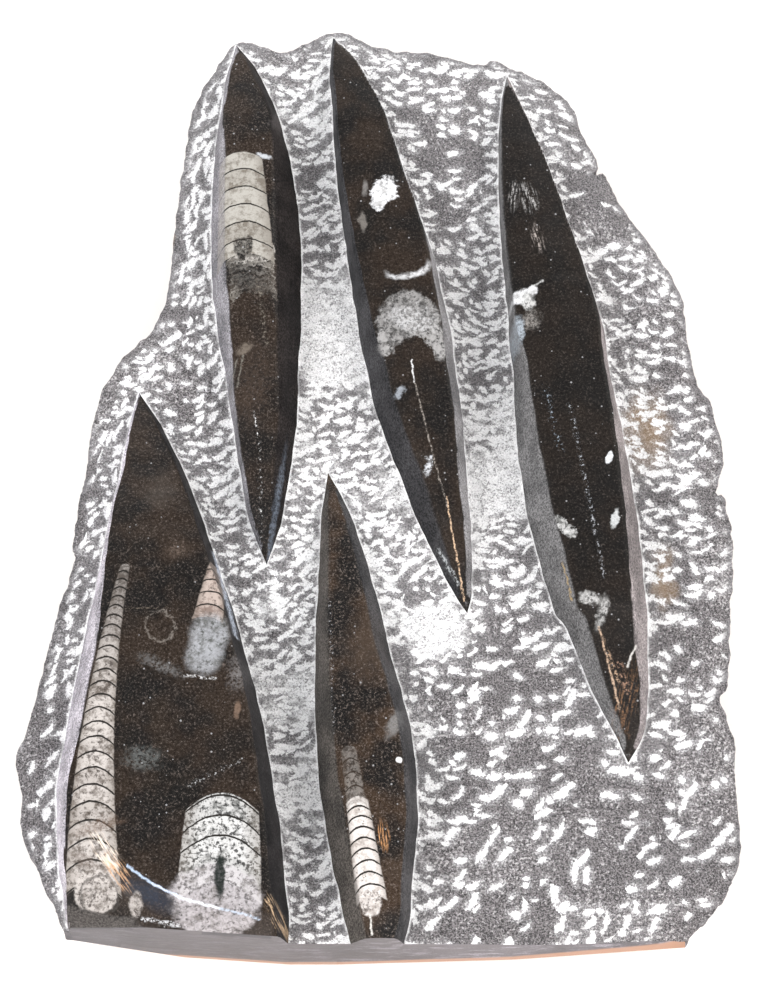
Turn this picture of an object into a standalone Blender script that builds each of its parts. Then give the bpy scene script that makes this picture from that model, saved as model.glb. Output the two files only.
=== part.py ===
"""Orthoceras fossil plaque: one piece of grey limestone, lying on its sawn back.

Five fossil-bearing ridges stand proud of a hammered face. The shells are stone in stone,
so the whole plaque is a single solid. +Z is up out of the face, +Y runs to the narrow end,
-Y is the sawn foot, and the origin is under the middle of the plaque, on its back plane.
"""
import math

import bmesh
import bpy
from mathutils import Vector

MM = 0.001

# Driving dimensions, in millimetres.
FACE_HEIGHT = 22.0            # hammered face above the back plane
FACE_CROWN = 0.4              # how far the middle of the face stands above its border
FOOT_Y = -150.0               # plane of the sawn foot
# The foot is ground back at both ends: from this x on, by these degrees about Z.
FOOT_CUTS = {"foot_cut": (0.0, 0.0), "foot_left_cut": (-27.0, -4.0), "foot_right_cut": (40.0, 2.5)}
WALL_DEGREES = 68.0           # slope of the ridges' polished side walls
RIDGE_ROOT = 8.0              # how deep a ridge solid reaches into the slab
WALL_BURIED = 1.0             # the walls turn down this far under the face
RIDGE_STEP = 7.0              # distance between the cross-sections of a ridge
BEVEL_DEGREES = 22.0          # slope of the bevel on the end of the broad ridge
BEVEL_HIGH = (-83.0, -119.5)  # the bevel's upper edge runs between these two points
BEVEL_LOW = (-33.5, -143.0)
BEVEL_HEIGHT = 37.5
CHIP_START = (-18.0, -150.0, 0.0)    # the broken corner under the right of the foot
CHIP_RIM = (95.0, -150.0, 15.0)
CHIP_BACK = (95.0, -122.0, 0.0)

# Broken outline of the face, clockwise from the top; the ends run on past the foot plane.
OUTLINE = (
    (-45.3, 145.5), (-36.6, 144.2), (-30.2, 142.3), (-23.5, 145.5), (-13.3, 150.0), (-6.2, 147.0),
    (3.0, 143.0), (13.9, 142.3), (31.8, 138.4), (36.5, 139.4), (43.3, 136.6), (55.0, 130.2),
    (62.5, 122.4), (64.5, 115.0), (69.4, 103.0), (68.2, 99.3), (72.1, 99.0), (77.5, 87.2),
    (88.0, 70.7), (94.3, 58.8), (96.5, 42.0), (99.4, 26.0), (102.7, 22.0), (105.8, 4.2),
    (103.2, -7.6), (105.9, -9.8), (108.0, -27.9), (106.4, -49.2), (104.8, -69.3), (102.5, -73.0),
    (105.7, -84.2), (106.8, -119.5), (104.5, -128.3), (99.0, -138.0), (89.8, -147.0), (78.0, -175.0),
    (20.0, -176.0), (-40.0, -176.0), (-84.0, -175.0), (-90.5, -145.0), (-96.6, -135.0),
    (-105.2, -115.3), (-105.6, -103.2), (-108.0, -90.9), (-104.1, -79.5), (-98.7, -53.3),
    (-92.5, -29.8), (-93.0, -25.0), (-90.4, -3.0), (-87.3, 20.3), (-80.3, 35.6), (-70.6, 46.0),
    (-65.6, 60.5), (-63.9, 84.4), (-60.7, 115.0), (-57.1, 127.0), (-51.0, 139.1),
)

# Rings of the slab from back to face: share of the outline's reach, and height.
FLANK_RINGS = ((0.93, 0.0), (0.985, 6.0), (1.0, 14.0), (0.998, 19.0))
FACE_RINGS = ((0.97, 21.2), (0.91, FACE_HEIGHT), (0.5, FACE_HEIGHT + FACE_CROWN))

# Ridges: greatest wall height, share of the half width that the walls rise by, slope of the
# crown towards its crest, and rows of (y, left edge x, right edge x) where the walls meet the
# face, from the upper tip down.
RIDGES = {
    "ridge_narrow_left": (12.5, 0.90, 0.10, (
        (144.5, -45.9, -45.3), (130.0, -48.5, -36.4), (110.0, -51.1, -29.5), (85.0, -52.2, -25.2),
        (60.0, -51.6, -24.1), (35.0, -48.2, -24.5), (12.0, -44.5, -25.4), (-8.0, -41.3, -27.9),
        (-21.0, -38.1, -30.3), (-32.0, -34.1, -33.5))),
    "ridge_long_middle": (12.5, 0.90, 0.10, (
        (147.0, -14.9, -14.3), (136.0, -15.2, -6.1), (118.0, -14.5, 2.3), (95.0, -12.8, 9.2),
        (70.0, -9.7, 16.9), (45.0, -6.0, 22.1), (20.0, -1.4, 25.2), (-5.0, 7.1, 27.0),
        (-25.0, 15.0, 28.1), (-40.0, 22.0, 28.2), (-47.5, 26.4, 27.0))),
    "ridge_long_right": (13.5, 0.85, 0.10, (
        (133.0, 40.7, 41.3), (120.0, 38.7, 46.3), (100.0, 38.0, 53.6), (75.0, 38.4, 61.1),
        (50.0, 40.3, 68.6), (25.0, 41.6, 72.4), (0.0, 43.0, 76.4), (-25.0, 47.2, 79.2),
        (-46.0, 52.6, 80.7), (-52.0, 56.4, 80.8), (-70.0, 63.0, 80.5), (-85.0, 70.0, 78.6),
        (-94.0, 73.7, 74.3))),
    "ridge_broad_foot": (15.0, 0.80, 0.03, (
        (24.0, -74.0, -73.4), (12.0, -76.6, -66.2), (-5.0, -79.2, -58.1), (-25.0, -83.0, -51.0),
        (-50.0, -87.3, -42.7), (-75.0, -91.4, -36.0), (-100.0, -94.6, -31.2), (-125.0, -93.7, -27.6),
        (-145.0, -90.2, -26.2), (-156.0, -88.0, -25.6))),
    "ridge_middle_foot": (12.0, 0.90, 0.10, (
        (-2.4, -15.7, -15.1), (-14.0, -16.9, -9.4), (-35.0, -18.2, -2.4), (-60.0, -18.9, 3.7),
        (-85.0, -18.6, 9.7), (-105.0, -16.6, 11.5), (-125.0, -13.4, 10.6), (-145.0, -8.8, 8.2),
        (-156.0, -6.0, 6.0))),
}


def clear_scene():
    for item in list(bpy.data.objects):
        bpy.data.objects.remove(item, do_unlink=True)


def limestone():
    """Near-black limestone between its hammered grey and its polished dark."""
    material = bpy.data.materials.new("limestone")
    material.use_nodes = True
    shader = material.node_tree.nodes["Principled BSDF"]
    shader.inputs["Base Color"].default_value = (0.10, 0.095, 0.092, 1.0)
    shader.inputs["Roughness"].default_value = 0.6
    shader.inputs["Metallic"].default_value = 0.0
    return material


def loft(name, loops, material, top_point=None):
    """Skin equal loops of points (millimetres), cap the first, and cap or close the last."""
    bm = bmesh.new()
    rows = [[bm.verts.new(Vector(point) * MM) for point in loop] for loop in loops]
    count = len(rows[0])
    for lower, upper in zip(rows, rows[1:]):
        for i in range(count):
            j = (i + 1) % count
            bm.faces.new((lower[i], lower[j], upper[j], upper[i]))
    bm.faces.new(rows[0])
    if top_point is None:
        bm.faces.new(rows[-1])
    else:
        peak = bm.verts.new(Vector(top_point) * MM)
        for i in range(count):
            bm.faces.new((rows[-1][i], rows[-1][(i + 1) % count], peak))
    bmesh.ops.recalc_face_normals(bm, faces=bm.faces)
    mesh = bpy.data.meshes.new(name)
    bm.to_mesh(mesh)
    bm.free()
    body = bpy.data.objects.new(name, mesh)
    mesh.materials.append(material)
    bpy.context.collection.objects.link(body)
    return body


def slab_blank(material):
    """The slab before its ridges and cuts: scaled rings of the outline, closed at the middle."""
    loops = []
    for share, height in FLANK_RINGS + FACE_RINGS:
        loops.append([(x * share, y * share, height) for x, y in OUTLINE])
    return loft("fossil_slab", loops, material, (0.0, 0.0, FACE_HEIGHT + FACE_CROWN))


def smooth_rows(rows, step):
    """Catmull-Rom rows of (y, left, right) about one step apart."""
    padded = [rows[0]] + list(rows) + [rows[-1]]
    points = []
    for before, start, end, after in zip(padded, padded[1:], padded[2:], padded[3:]):
        pieces = max(1, round(abs(end[0] - start[0]) / step))
        for k in range(pieces):
            t = k / pieces
            points.append(tuple(
                0.5 * (2.0 * b + (c - a) * t + (2.0 * a - 5.0 * b + 4.0 * c - d) * t * t
                       + (3.0 * b - a - 3.0 * c + d) * t ** 3)
                for a, b, c, d in zip(before, start, end, after)))
    points.append(rows[-1])
    return points


def ridge_section(y, left, right, wall_height, wall_share, roof_slope):
    """One cross-section: root, steep walls and a low roof-shaped crown."""
    half = (right - left) / 2.0
    rise = min(wall_height, wall_share * half)
    run = rise / math.tan(math.radians(WALL_DEGREES))
    middle = (left + right) / 2.0
    shoulder = FACE_HEIGHT + rise
    crest = shoulder + roof_slope * (half - run)
    root = FACE_HEIGHT - RIDGE_ROOT
    foot = FACE_HEIGHT - WALL_BURIED
    return ((left, y, root), (left, y, foot), (left + run, y, shoulder), (middle, y, crest),
            (right - run, y, shoulder), (right, y, foot), (right, y, root))


def ridge(name, wall_height, wall_share, roof_slope, rows, material):
    sections = [ridge_section(*row, wall_height, wall_share, roof_slope)
                for row in smooth_rows(rows, RIDGE_STEP)]
    return loft(name, sections, material)


def cutting_block(name, point, direction, material):
    """A block that fills the space ahead of a plane through the point."""
    size = 400.0
    normal = Vector(direction).normalized()
    bm = bmesh.new()
    bmesh.ops.create_cube(bm, size=size * MM)
    turn = normal.to_track_quat("Z", "Y").to_matrix().to_4x4()
    bmesh.ops.transform(bm, matrix=turn, verts=bm.verts)
    bmesh.ops.translate(bm, vec=(Vector(point) + normal * size / 2.0) * MM, verts=bm.verts)
    mesh = bpy.data.meshes.new(name)
    bm.to_mesh(mesh)
    bm.free()
    mesh.materials.append(material)
    block = bpy.data.objects.new(name, mesh)
    bpy.context.collection.objects.link(block)
    return block


def combine(body, other, operation):
    """Add or take away a hidden solid from the body with a Boolean modifier."""
    other.hide_render = True
    other.display_type = "WIRE"
    modifier = body.modifiers.new(other.name, "BOOLEAN")
    modifier.operation = operation
    modifier.solver = "EXACT"
    modifier.object = other


def plaque():
    stone = limestone()
    body = slab_blank(stone)
    for name, (wall_height, wall_share, roof_slope, rows) in RIDGES.items():
        combine(body, ridge(name, wall_height, wall_share, roof_slope, rows, stone), "UNION")

    for name, (start_x, degrees) in FOOT_CUTS.items():
        turn = math.radians(degrees)
        facing = (math.sin(turn), -math.cos(turn), 0.0)
        combine(body, cutting_block(name, (start_x, FOOT_Y, 0.0), facing, stone), "DIFFERENCE")

    edge = (Vector(BEVEL_LOW) - Vector(BEVEL_HIGH)).normalized()
    slope = math.radians(BEVEL_DEGREES)
    away = (edge.y * math.sin(slope), -edge.x * math.sin(slope), math.cos(slope))
    bevel = cutting_block("bevel_cut", (*BEVEL_HIGH, BEVEL_HEIGHT), away, stone)

    along = Vector(CHIP_RIM) - Vector(CHIP_START)
    across = Vector(CHIP_BACK) - Vector(CHIP_START)
    chip = cutting_block("chip_cut", CHIP_START, across.cross(along), stone)

    combine(body, bevel, "DIFFERENCE")
    combine(body, chip, "DIFFERENCE")


clear_scene()
plaque()
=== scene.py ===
import math

import bmesh
import bpy
import numpy as np
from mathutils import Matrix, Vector, noise
from mathutils.geometry import delaunay_2d_cdt
from mathutils.kdtree import KDTree


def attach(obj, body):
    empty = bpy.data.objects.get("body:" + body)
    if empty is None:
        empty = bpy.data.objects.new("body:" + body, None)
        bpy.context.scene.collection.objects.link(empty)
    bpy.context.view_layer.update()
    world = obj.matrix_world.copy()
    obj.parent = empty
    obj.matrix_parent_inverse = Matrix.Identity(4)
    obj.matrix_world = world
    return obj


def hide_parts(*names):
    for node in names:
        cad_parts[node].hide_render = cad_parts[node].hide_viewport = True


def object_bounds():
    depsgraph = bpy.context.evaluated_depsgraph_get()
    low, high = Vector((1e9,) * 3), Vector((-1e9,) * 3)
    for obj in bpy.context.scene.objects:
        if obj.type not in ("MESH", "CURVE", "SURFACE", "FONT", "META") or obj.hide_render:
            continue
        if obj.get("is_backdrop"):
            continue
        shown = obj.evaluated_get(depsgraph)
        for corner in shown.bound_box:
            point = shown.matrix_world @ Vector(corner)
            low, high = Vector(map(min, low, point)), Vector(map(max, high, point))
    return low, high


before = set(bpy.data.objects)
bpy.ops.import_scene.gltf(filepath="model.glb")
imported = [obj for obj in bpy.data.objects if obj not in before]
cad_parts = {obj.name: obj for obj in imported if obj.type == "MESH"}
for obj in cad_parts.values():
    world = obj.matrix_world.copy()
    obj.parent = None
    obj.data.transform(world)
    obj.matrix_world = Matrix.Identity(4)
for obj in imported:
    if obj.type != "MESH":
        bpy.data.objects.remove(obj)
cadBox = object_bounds()
print("frame loaded")

mm = 0.001

# the plaque's shape, in millimetres
plaque = {
    "faceHeight": 22.0,        # hammered face above the back
    "rimHeight": 19.3,         # the face drops to this at its broken rim
    "rimDropWidth": 4.5,
    "footDropWidth": 8.0,      # the worn front edge over the right of the foot
    "footDrop": 4.0,
    "waves": [(28.0, 3, 1.3, 0.45), (7.0, 2, 8.1, 0.25)],   # of the face: scale, octaves, shift, height
    "rimWave": (3.2, 3, 5.5, 0.8),
    "rimWaveWidth": 2.5,
    "sheetHalf": (109.0, 151.0),   # points of the face are laid out this far each way
    "meshStep": 0.9,           # point spacing on the hammered face
    "jitter": 0.16,            # as a share of the spacing
    "rimStep": 1.0,
    "footY": -148.3,           # upper edge of the sawn foot
    "footSlant": 1.7,          # its lower edge stands this much further out
    "footLeft": (-27.0, 4.0),  # the foot is ground back past this x, by these degrees
    "footRight": (40.0, 2.5),
    "chipStart": -18.0,        # broken corner under the right of the foot
    "chipRise": 15.0 / 113.0,
    "chipReach": 28.0 / 113.0,
    "cornerChip": (-56.0, 0.42, 0.3),   # lost corner left of the foot: its start, rise and reach
    "rimRoughness": 0.7,
    "seed": 11,
}

# broken rim, counter-clockwise from the right end of the foot
rimOutline = [
    (99.0, -138.0), (104.5, -128.3), (106.8, -119.5), (106.3, -103.0), (105.7, -84.2),
    (102.5, -73.0), (104.8, -69.3), (106.4, -49.2), (108.0, -27.9), (105.9, -9.8), (103.2, -7.6),
    (105.8, 4.2), (102.7, 22.0), (99.4, 26.0), (96.5, 42.0), (94.3, 58.8), (88.0, 70.7),
    (77.5, 87.2), (72.1, 99.0), (68.2, 99.3), (69.4, 103.0), (64.5, 115.0), (62.5, 122.4),
    (55.0, 130.2), (43.3, 136.6), (36.5, 139.4), (31.8, 138.4), (13.9, 142.3), (3.0, 143.0),
    (-6.2, 147.0), (-13.3, 150.0), (-23.5, 145.5), (-30.2, 142.3), (-36.6, 144.2),
    (-45.3, 145.5), (-51.0, 139.1), (-57.1, 127.0), (-60.7, 115.0), (-63.9, 84.4),
    (-65.6, 60.5), (-70.6, 46.0), (-80.3, 35.6), (-87.3, 20.3), (-90.4, -3.0), (-93.0, -25.0),
    (-92.5, -29.8), (-98.7, -53.3), (-104.1, -79.5), (-108.0, -90.9), (-105.6, -103.2),
    (-105.2, -115.3), (-96.6, -135.0),
]

# how the hammer strokes lean beside the left and the right edge of each ridge, in radians,
# and how quickly that fades away from the edge, in millimetres
strokeLean = {
    "narrowLeft": (1.0, -0.7), "longMiddle": (0.55, -0.9), "longRight": (0.1, -0.7),
    "broadFoot": (0.85, -0.75), "middleFoot": (0.35, -0.5), "fade": 6.0, "level": 0.12}

# ridges: wall height, share of the half width that the crown rises by at the tips, roof slope,
# rounding of the left and right shoulder, rows of y, left edge, right edge,
# and walls: y, how far the left wall and the right wall lean in
ridges = {
    "narrowLeft": {
        "wall": 12.5, "share": 0.9, "roof": 0.1, "round": (1.6, 2.2),
        "walls": [(117.0, 1.4, 3.0), (97.0, 4.0, 5.5), (75.0, 4.4, 7.5), (52.0, 4.2, 7.0),
                  (41.0, 3.6, 6.5), (26.0, 2.1, 5.5), (11.0, 1.2, 5.0), (-11.0, 0.9, 4.0),
                  (-24.0, 0.9, 2.5)],
        "rows": [(144.5, -45.6, -45.6), (130.0, -48.5, -36.4), (110.0, -51.1, -29.5),
                 (85.0, -52.2, -25.2), (60.0, -51.6, -24.1), (35.0, -48.2, -24.5), (12.0, -44.5, -25.4),
                 (-8.0, -41.3, -27.9), (-21.0, -38.1, -30.3), (-32.0, -33.8, -33.8)]},
    "longMiddle": {
        "wall": 12.5, "share": 0.9, "roof": 0.1, "round": (2.6, 1.6),
        "walls": [(119.0, 0.8, 1.0), (84.0, 1.4, 1.4), (68.0, 1.9, 2.1), (46.0, 3.2, 3.2),
                  (27.0, 4.8, 3.2), (-11.0, 5.5, 2.4), (-30.0, 4.0, 1.6)],
        "rows": [(147.0, -14.6, -14.6), (136.0, -15.2, -6.1), (118.0, -14.5, 2.3), (95.0, -12.8, 9.2),
                 (70.0, -9.7, 16.9), (45.0, -6.0, 22.1), (20.0, -1.4, 25.2), (-5.0, 7.1, 27.0),
                 (-25.0, 15.0, 28.1), (-40.0, 22.0, 28.2), (-47.5, 26.7, 26.7)]},
    "longRight": {
        "wall": 13.5, "share": 0.85, "roof": 0.1, "round": (1.8, 1.4),
        "walls": [(116.0, 0.5, 0.8), (84.0, 0.6, 1.2), (60.0, 0.8, 1.9), (44.0, 1.3, 2.2),
                  (32.0, 3.0, 2.5), (11.0, 4.8, 3.5), (-10.0, 6.0, 4.4), (-31.0, 6.4, 5.0),
                  (-47.0, 5.4, 5.2), (-60.0, 4.4, 4.2), (-72.0, 3.4, 2.6), (-85.0, 2.2, 1.6)],
        "rows": [(133.0, 41.0, 41.0), (120.0, 38.7, 46.3), (100.0, 38.0, 53.6), (75.0, 38.4, 61.1),
                 (50.0, 40.3, 68.6), (25.0, 41.6, 72.4), (0.0, 43.0, 76.4), (-25.0, 47.2, 79.2),
                 (-46.0, 52.6, 80.7), (-52.0, 56.4, 80.8), (-70.0, 63.0, 80.5), (-85.0, 70.0, 78.6),
                 (-94.0, 74.0, 74.0)]},
    "broadFoot": {
        "wall": 15.0, "share": 0.8, "roof": 0.03, "round": (3.4, 2.0),
        "walls": [(15.0, 0.8, 1.6), (-10.0, 1.2, 2.4), (-28.0, 2.0, 2.8), (-40.0, 3.0, 3.0),
                  (-53.0, 4.5, 3.2), (-64.0, 5.3, 3.4), (-85.0, 5.2, 3.6), (-95.0, 4.6, 3.8),
                  (-108.0, 3.4, 4.0), (-122.0, 2.8, 4.2), (-135.0, 2.2, 4.2), (-147.0, 1.2, 4.0)],
        "rows": [(24.0, -73.7, -73.7), (12.0, -76.6, -66.2), (-5.0, -79.2, -58.1),
                 (-25.0, -83.0, -51.0), (-50.0, -87.3, -42.7), (-75.0, -91.4, -36.0),
                 (-100.0, -94.6, -31.2), (-125.0, -93.7, -27.6), (-145.0, -90.2, -26.2),
                 (-156.0, -88.0, -25.6)]},
    "middleFoot": {
        "wall": 12.0, "share": 0.9, "roof": 0.1, "round": (1.8, 2.0),
        "walls": [(-11.0, 1.4, 2.0), (-24.0, 2.2, 3.0), (-55.0, 3.4, 4.2), (-75.0, 4.4, 4.0),
                  (-107.0, 5.4, 3.2), (-125.0, 5.4, 2.8), (-147.0, 4.6, 2.4)],
        "rows": [(-2.4, -15.4, -15.4), (-14.0, -16.9, -9.4), (-35.0, -18.2, -2.4), (-60.0, -18.9, 3.7),
                 (-85.0, -18.6, 9.7), (-105.0, -16.6, 11.5), (-125.0, -13.4, 10.6), (-145.0, -8.8, 8.2),
                 (-156.0, -6.0, 6.0)]},
}
atFoot = ("broadFoot", "middleFoot")   # the ridges that the foot cuts across
bakeMap = {   # millimetres across the whole map, and where the back and the flank strips lie on it
    "size": 362.0, "middle": (110.0, 152.0), "backCorner": (0.625, 0.01), "backScale": 0.5,
    "strips": 3, "stripCorner": (0.63, 0.45),
    "stripPitch": 0.115, "stripWidth": 0.085, "stripScale": 0.66}
ridgeMesh = {   # millimetres between rows and across the crown; the wall's points lie at these shares of it
    "stationStep": 1.5, "crownStep": 1.8, "shoulderGap": 0.45, "edgeWobble": 0.45,
    "wallShares": (0.3, 0.62, 0.86, 1.0)}
bevel = {   # the worn end of broadFoot: its crest line, and how far it falls by the foot
    "line": [(-92.0, -112.0), (-83.0, -119.7), (-71.1, -130.6), (-58.2, -137.3), (-45.5, -141.1),
             (-33.4, -143.9), (-24.0, -145.2)],
    "height": 37.6, "fall": 7.0, "curve": 1.2, "round": 0.5,
    "facet": [(-92.0, 22.5), (-66.0, 31.0)],   # x and height at the foot of the corner facet
    "facetSlope": 1.85}
flank = {   # the broken side below the rim, and the sawn side below the foot
    "shares": [0.08, 0.18, 0.30, 0.42, 0.54, 0.65, 0.75, 0.84, 0.91, 0.96, 1.0],   # rows of points, by depth
    "undercut": 7.5, "bumps": 1.6, "steps": 1.8,
    "footSlot": 6,         # this many rows of the sawn side take the sawn finish
    "sawnShare": 0.55,     # the rows down to this depth stay on the sawn face
    "chipLeast": 0.8, "chipMost": 15.0, "cornerMost": 14.0}


def footLine(x):   # y of the foot's upper edge at x
    x = np.asarray(x, float)
    leftX, leftTurn = plaque["footLeft"]
    rightX, rightTurn = plaque["footRight"]
    back = np.maximum(leftX - x, 0.0) * math.tan(math.radians(leftTurn))
    back = back + np.maximum(x - rightX, 0.0) * math.tan(math.radians(rightTurn))
    return plaque["footY"] + back


def softMin(a, b, rounding):   # the smaller one, rounded where they cross
    h = np.clip(0.5 + 0.5 * (b - a) / rounding, 0.0, 1.0)
    return b + (a - b) * h - rounding * h * (1.0 - h)


def smoothStep(value, low, high):
    t = np.clip((value - low) / (high - low), 0.0, 1.0)
    return t * t * (3.0 - 2.0 * t)


def smoothPath(points, step):   # Catmull-Rom through open points of any size
    points = [np.array(p, float) for p in points]
    padded = [2 * points[0] - points[1]] + points + [2 * points[-1] - points[-2]]
    path = []
    for a, b, c, d in zip(padded, padded[1:], padded[2:], padded[3:]):
        pieces = max(1, int(round(np.linalg.norm((c - b)[:2]) / step)))
        for k in range(pieces):
            t = k / pieces
            path.append(0.5 * (2 * b + (c - a) * t + (2 * a - 5 * b + 4 * c - d) * t * t
                               + (3 * b - a - 3 * c + d) * t ** 3))
    path.append(points[-1])
    return np.array(path)


def noiseAt(points, scale, octaves=3, shift=0.0):   # fractal noise, about -1 to 1
    spots = [Vector((p[0] / scale + shift, p[1] / scale - shift, shift)) for p in points]
    return np.array([noise.fractal(spot, 1.0, 2.0, octaves) for spot in spots])


def ridgeEdges(ridge):   # fine rows of y, left, right, falling in y
    rows = smoothPath([(r[0], r[1], r[2]) for r in ridge["rows"]], ridgeMesh["stationStep"])
    rows = rows[np.argsort(-rows[:, 0])]
    half = (rows[:, 2] - rows[:, 1]) / 2.0
    give = ridgeMesh["edgeWobble"] * smoothStep(half, 0.5, 4.0)
    rows[:, 1] += give * noiseAt(np.stack([rows[:, 0], rows[:, 1] * 0.0], axis=1), 9.0, 3, 2.7)
    rows[:, 2] += give * noiseAt(np.stack([rows[:, 0], rows[:, 1] * 0.0 + 50.0], axis=1), 9.0, 3, 5.1)
    return rows


def edgesAt(rows, y):
    left = np.interp(-y, -rows[:, 0], rows[:, 1])
    right = np.interp(-y, -rows[:, 0], rows[:, 2])
    return left, right


def wallRuns(name, y, half):   # how far each wall leans in at y
    walls = np.array(ridges[name]["walls"])
    runs = [np.interp(-np.asarray(y), -walls[:, 0], walls[:, side]) for side in (1, 2)]
    return [np.maximum(np.minimum(run, 0.62 * half), 0.02) for run in runs]


def ridgeRise(name, x, y, left, right):   # height of a ridge above the face
    ridge = ridges[name]
    half = (right - left) / 2.0
    top = np.maximum(softMin(np.full_like(half, ridge["wall"]), ridge["share"] * half, 2.0), 0.0)
    leftRun, rightRun = wallRuns(name, y, half)
    fromLeft = x - left
    fromRight = right - x
    crown = top + ridge["roof"] * softMin(fromLeft - leftRun, fromRight - rightRun, 2.5)
    if name == "broadFoot":
        crown = softMin(crown, bevelHeight(x, y) - plaque["faceHeight"], bevel["round"])
    leftRound = np.minimum(ridge["round"][0], half * 0.3 + 0.01)
    rightRound = np.minimum(ridge["round"][1], half * 0.3 + 0.01)
    rise = softMin(crown, fromLeft * top / leftRun, leftRound)
    rise = softMin(rise, fromRight * top / rightRun, rightRound)
    return np.maximum(rise, 0.0)


def bevelHeight(x, y):
    crestLine = np.array(bevel["line"])
    crest = np.interp(x, crestLine[:, 0], crestLine[:, 1])
    past = (crest - y) / (crest - footLine(x))
    worn = np.sign(past) * np.abs(past) ** bevel["curve"]
    facet = np.array(bevel["facet"])
    corner = np.interp(x, facet[:, 0], facet[:, 1]) + bevel["facetSlope"] * (y - footLine(x))
    corner = np.where(x > facet[1, 0], 99.0, corner)
    return softMin(bevel["height"] - bevel["fall"] * worn, corner, 0.4)


def rimPath():   # the broken rim, with the ends on the foot line
    rightEnd = (89.8, float(footLine(89.8)))
    leftEnd = (-91.9, float(footLine(-91.9)))
    path = smoothPath([rightEnd] + rimOutline + [leftEnd], plaque["rimStep"])
    away = np.stack([np.gradient(path[:, 1]), -np.gradient(path[:, 0])], axis=1)
    away /= np.linalg.norm(away, axis=1)[:, None]
    ends = np.minimum(np.arange(len(path)), np.arange(len(path))[::-1])
    wobble = noiseAt(path, 5.0, 4, 3.7) * plaque["rimRoughness"] - 0.35
    return path + away * (wobble * smoothStep(ends, 0, 6))[:, None]


def insidePolygon(points, loop):
    inside = np.zeros(len(points), bool)
    x, y = points[:, 0], points[:, 1]
    for (x0, y0), (x1, y1) in zip(loop, np.roll(loop, -1, axis=0)):
        crosses = (y0 > y) != (y1 > y)
        if crosses.any():
            at = x0 + (y[crosses] - y0) * (x1 - x0) / (y1 - y0)
            hits = x[crosses] < at
            index = np.nonzero(crosses)[0][hits]
            inside[index] ^= True
    return inside


def nearest(points, targets):   # distance from each point to the closest target
    tree = KDTree(len(targets))
    for i, target in enumerate(targets):
        tree.insert((target[0], target[1], 0.0), i)
    tree.balance()
    return np.array([tree.find((p[0], p[1], 0.0))[2] for p in points])


def footCrossing(rows, side):   # where a ridge edge meets the foot
    x = 0.0
    for _ in range(12):
        x = float(edgesAt(rows, np.array([float(footLine(x))]))[side][0])
    return x


def footPoints(rim, stops):   # x of the points along the foot, with one at each ridge edge
    knots = sorted([rim[-1][0]] + stops + [rim[0][0]])
    xs = []
    for start, end in zip(knots, knots[1:]):
        pieces = max(2, int(round((end - start) / plaque["rimStep"])))
        xs += [start + (end - start) * k / pieces for k in range(1, pieces + 1)]
    return xs[:-1]


def acrossRidge(name, y, half):   # the points between the two edges of one row, from the left edge
    leftRun, rightRun = [float(run) for run in wallRuns(name, y, half)]
    start = leftRun * 1.1 + 0.5
    width = 2 * half - start - rightRun * 1.1 - 0.5
    if half <= 1.6 or width <= 0.4:
        return [half]
    inner = max(int(width // ridgeMesh["crownStep"]), 0)
    margin = min(ridgeMesh["shoulderGap"], width * 0.2)
    across = [leftRun * share for share in ridgeMesh["wallShares"]] + [start, start + width]
    across += [start + margin + (width - 2 * margin) * k / (inner + 1) for k in range(inner + 2)]
    across.sort()
    return across + [2 * half - rightRun * share for share in reversed(ridgeMesh["wallShares"])]


def layOut():   # every point of the top sheet, its kind, and the lines that must be kept
    rim = rimPath()
    loop = [tuple(p) for p in rim]
    ridgeRows = {name: ridgeEdges(ridge) for name, ridge in ridges.items()}
    crossings = {name: [footCrossing(ridgeRows[name], side) for side in (0, 1)] for name in atFoot}
    footXs = footPoints(rim, [x for ends in crossings.values() for x in ends])
    footStart = len(loop)
    loop += [(x, float(footLine(x))) for x in footXs]
    points = list(loop)
    kinds = [("rim", "")] * footStart + [("foot", "")] * len(footXs)
    keptEdges = []

    def add(x, y, kind, name):
        points.append((x, y))
        kinds.append((kind, name))
        return len(points) - 1

    for name, rows in ridgeRows.items():
        clipped = name in crossings
        if clipped:
            aboveFoot = [rows[:, 0] > footLine(rows[:, side]) + 0.6 for side in (1, 2)]
            rows = rows[aboveFoot[0] & aboveFoot[1]]
        tip = add(rows[0, 1], rows[0, 0], "edge", name)
        sides = [[tip], [tip]]
        for y, left, right in rows[1:] if clipped else rows[1:-1]:
            sides[0].append(add(left, y, "edge", name))
            for offset in acrossRidge(name, y, (right - left) / 2.0):
                add(left + offset, y, "ridge", name)
            sides[1].append(add(right, y, "edge", name))
        if clipped:
            foot = range(footStart, footStart + len(footXs))
            for chain, x in zip(sides, crossings[name]):
                chain.append(min(foot, key=lambda i: abs(points[i][0] - x)))
        else:
            tail = add(rows[-1, 1], rows[-1, 0], "edge", name)
            for chain in sides:
                chain.append(tail)
        for chain in sides:
            keptEdges += list(zip(chain, chain[1:]))
    points, kinds = addFacePoints(points, kinds, loop, ridgeRows)
    return points, kinds, keptEdges, len(loop), footStart, ridgeRows


def staggered(half, step, rowStep):   # rows of points, every other row moved by half a step
    xs = np.arange(-half[0], half[0], step)
    ys = np.arange(-half[1], half[1], rowStep)
    return np.array([(x + (step / 2 if j % 2 else 0.0), y) for j, y in enumerate(ys) for x in xs])


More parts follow.
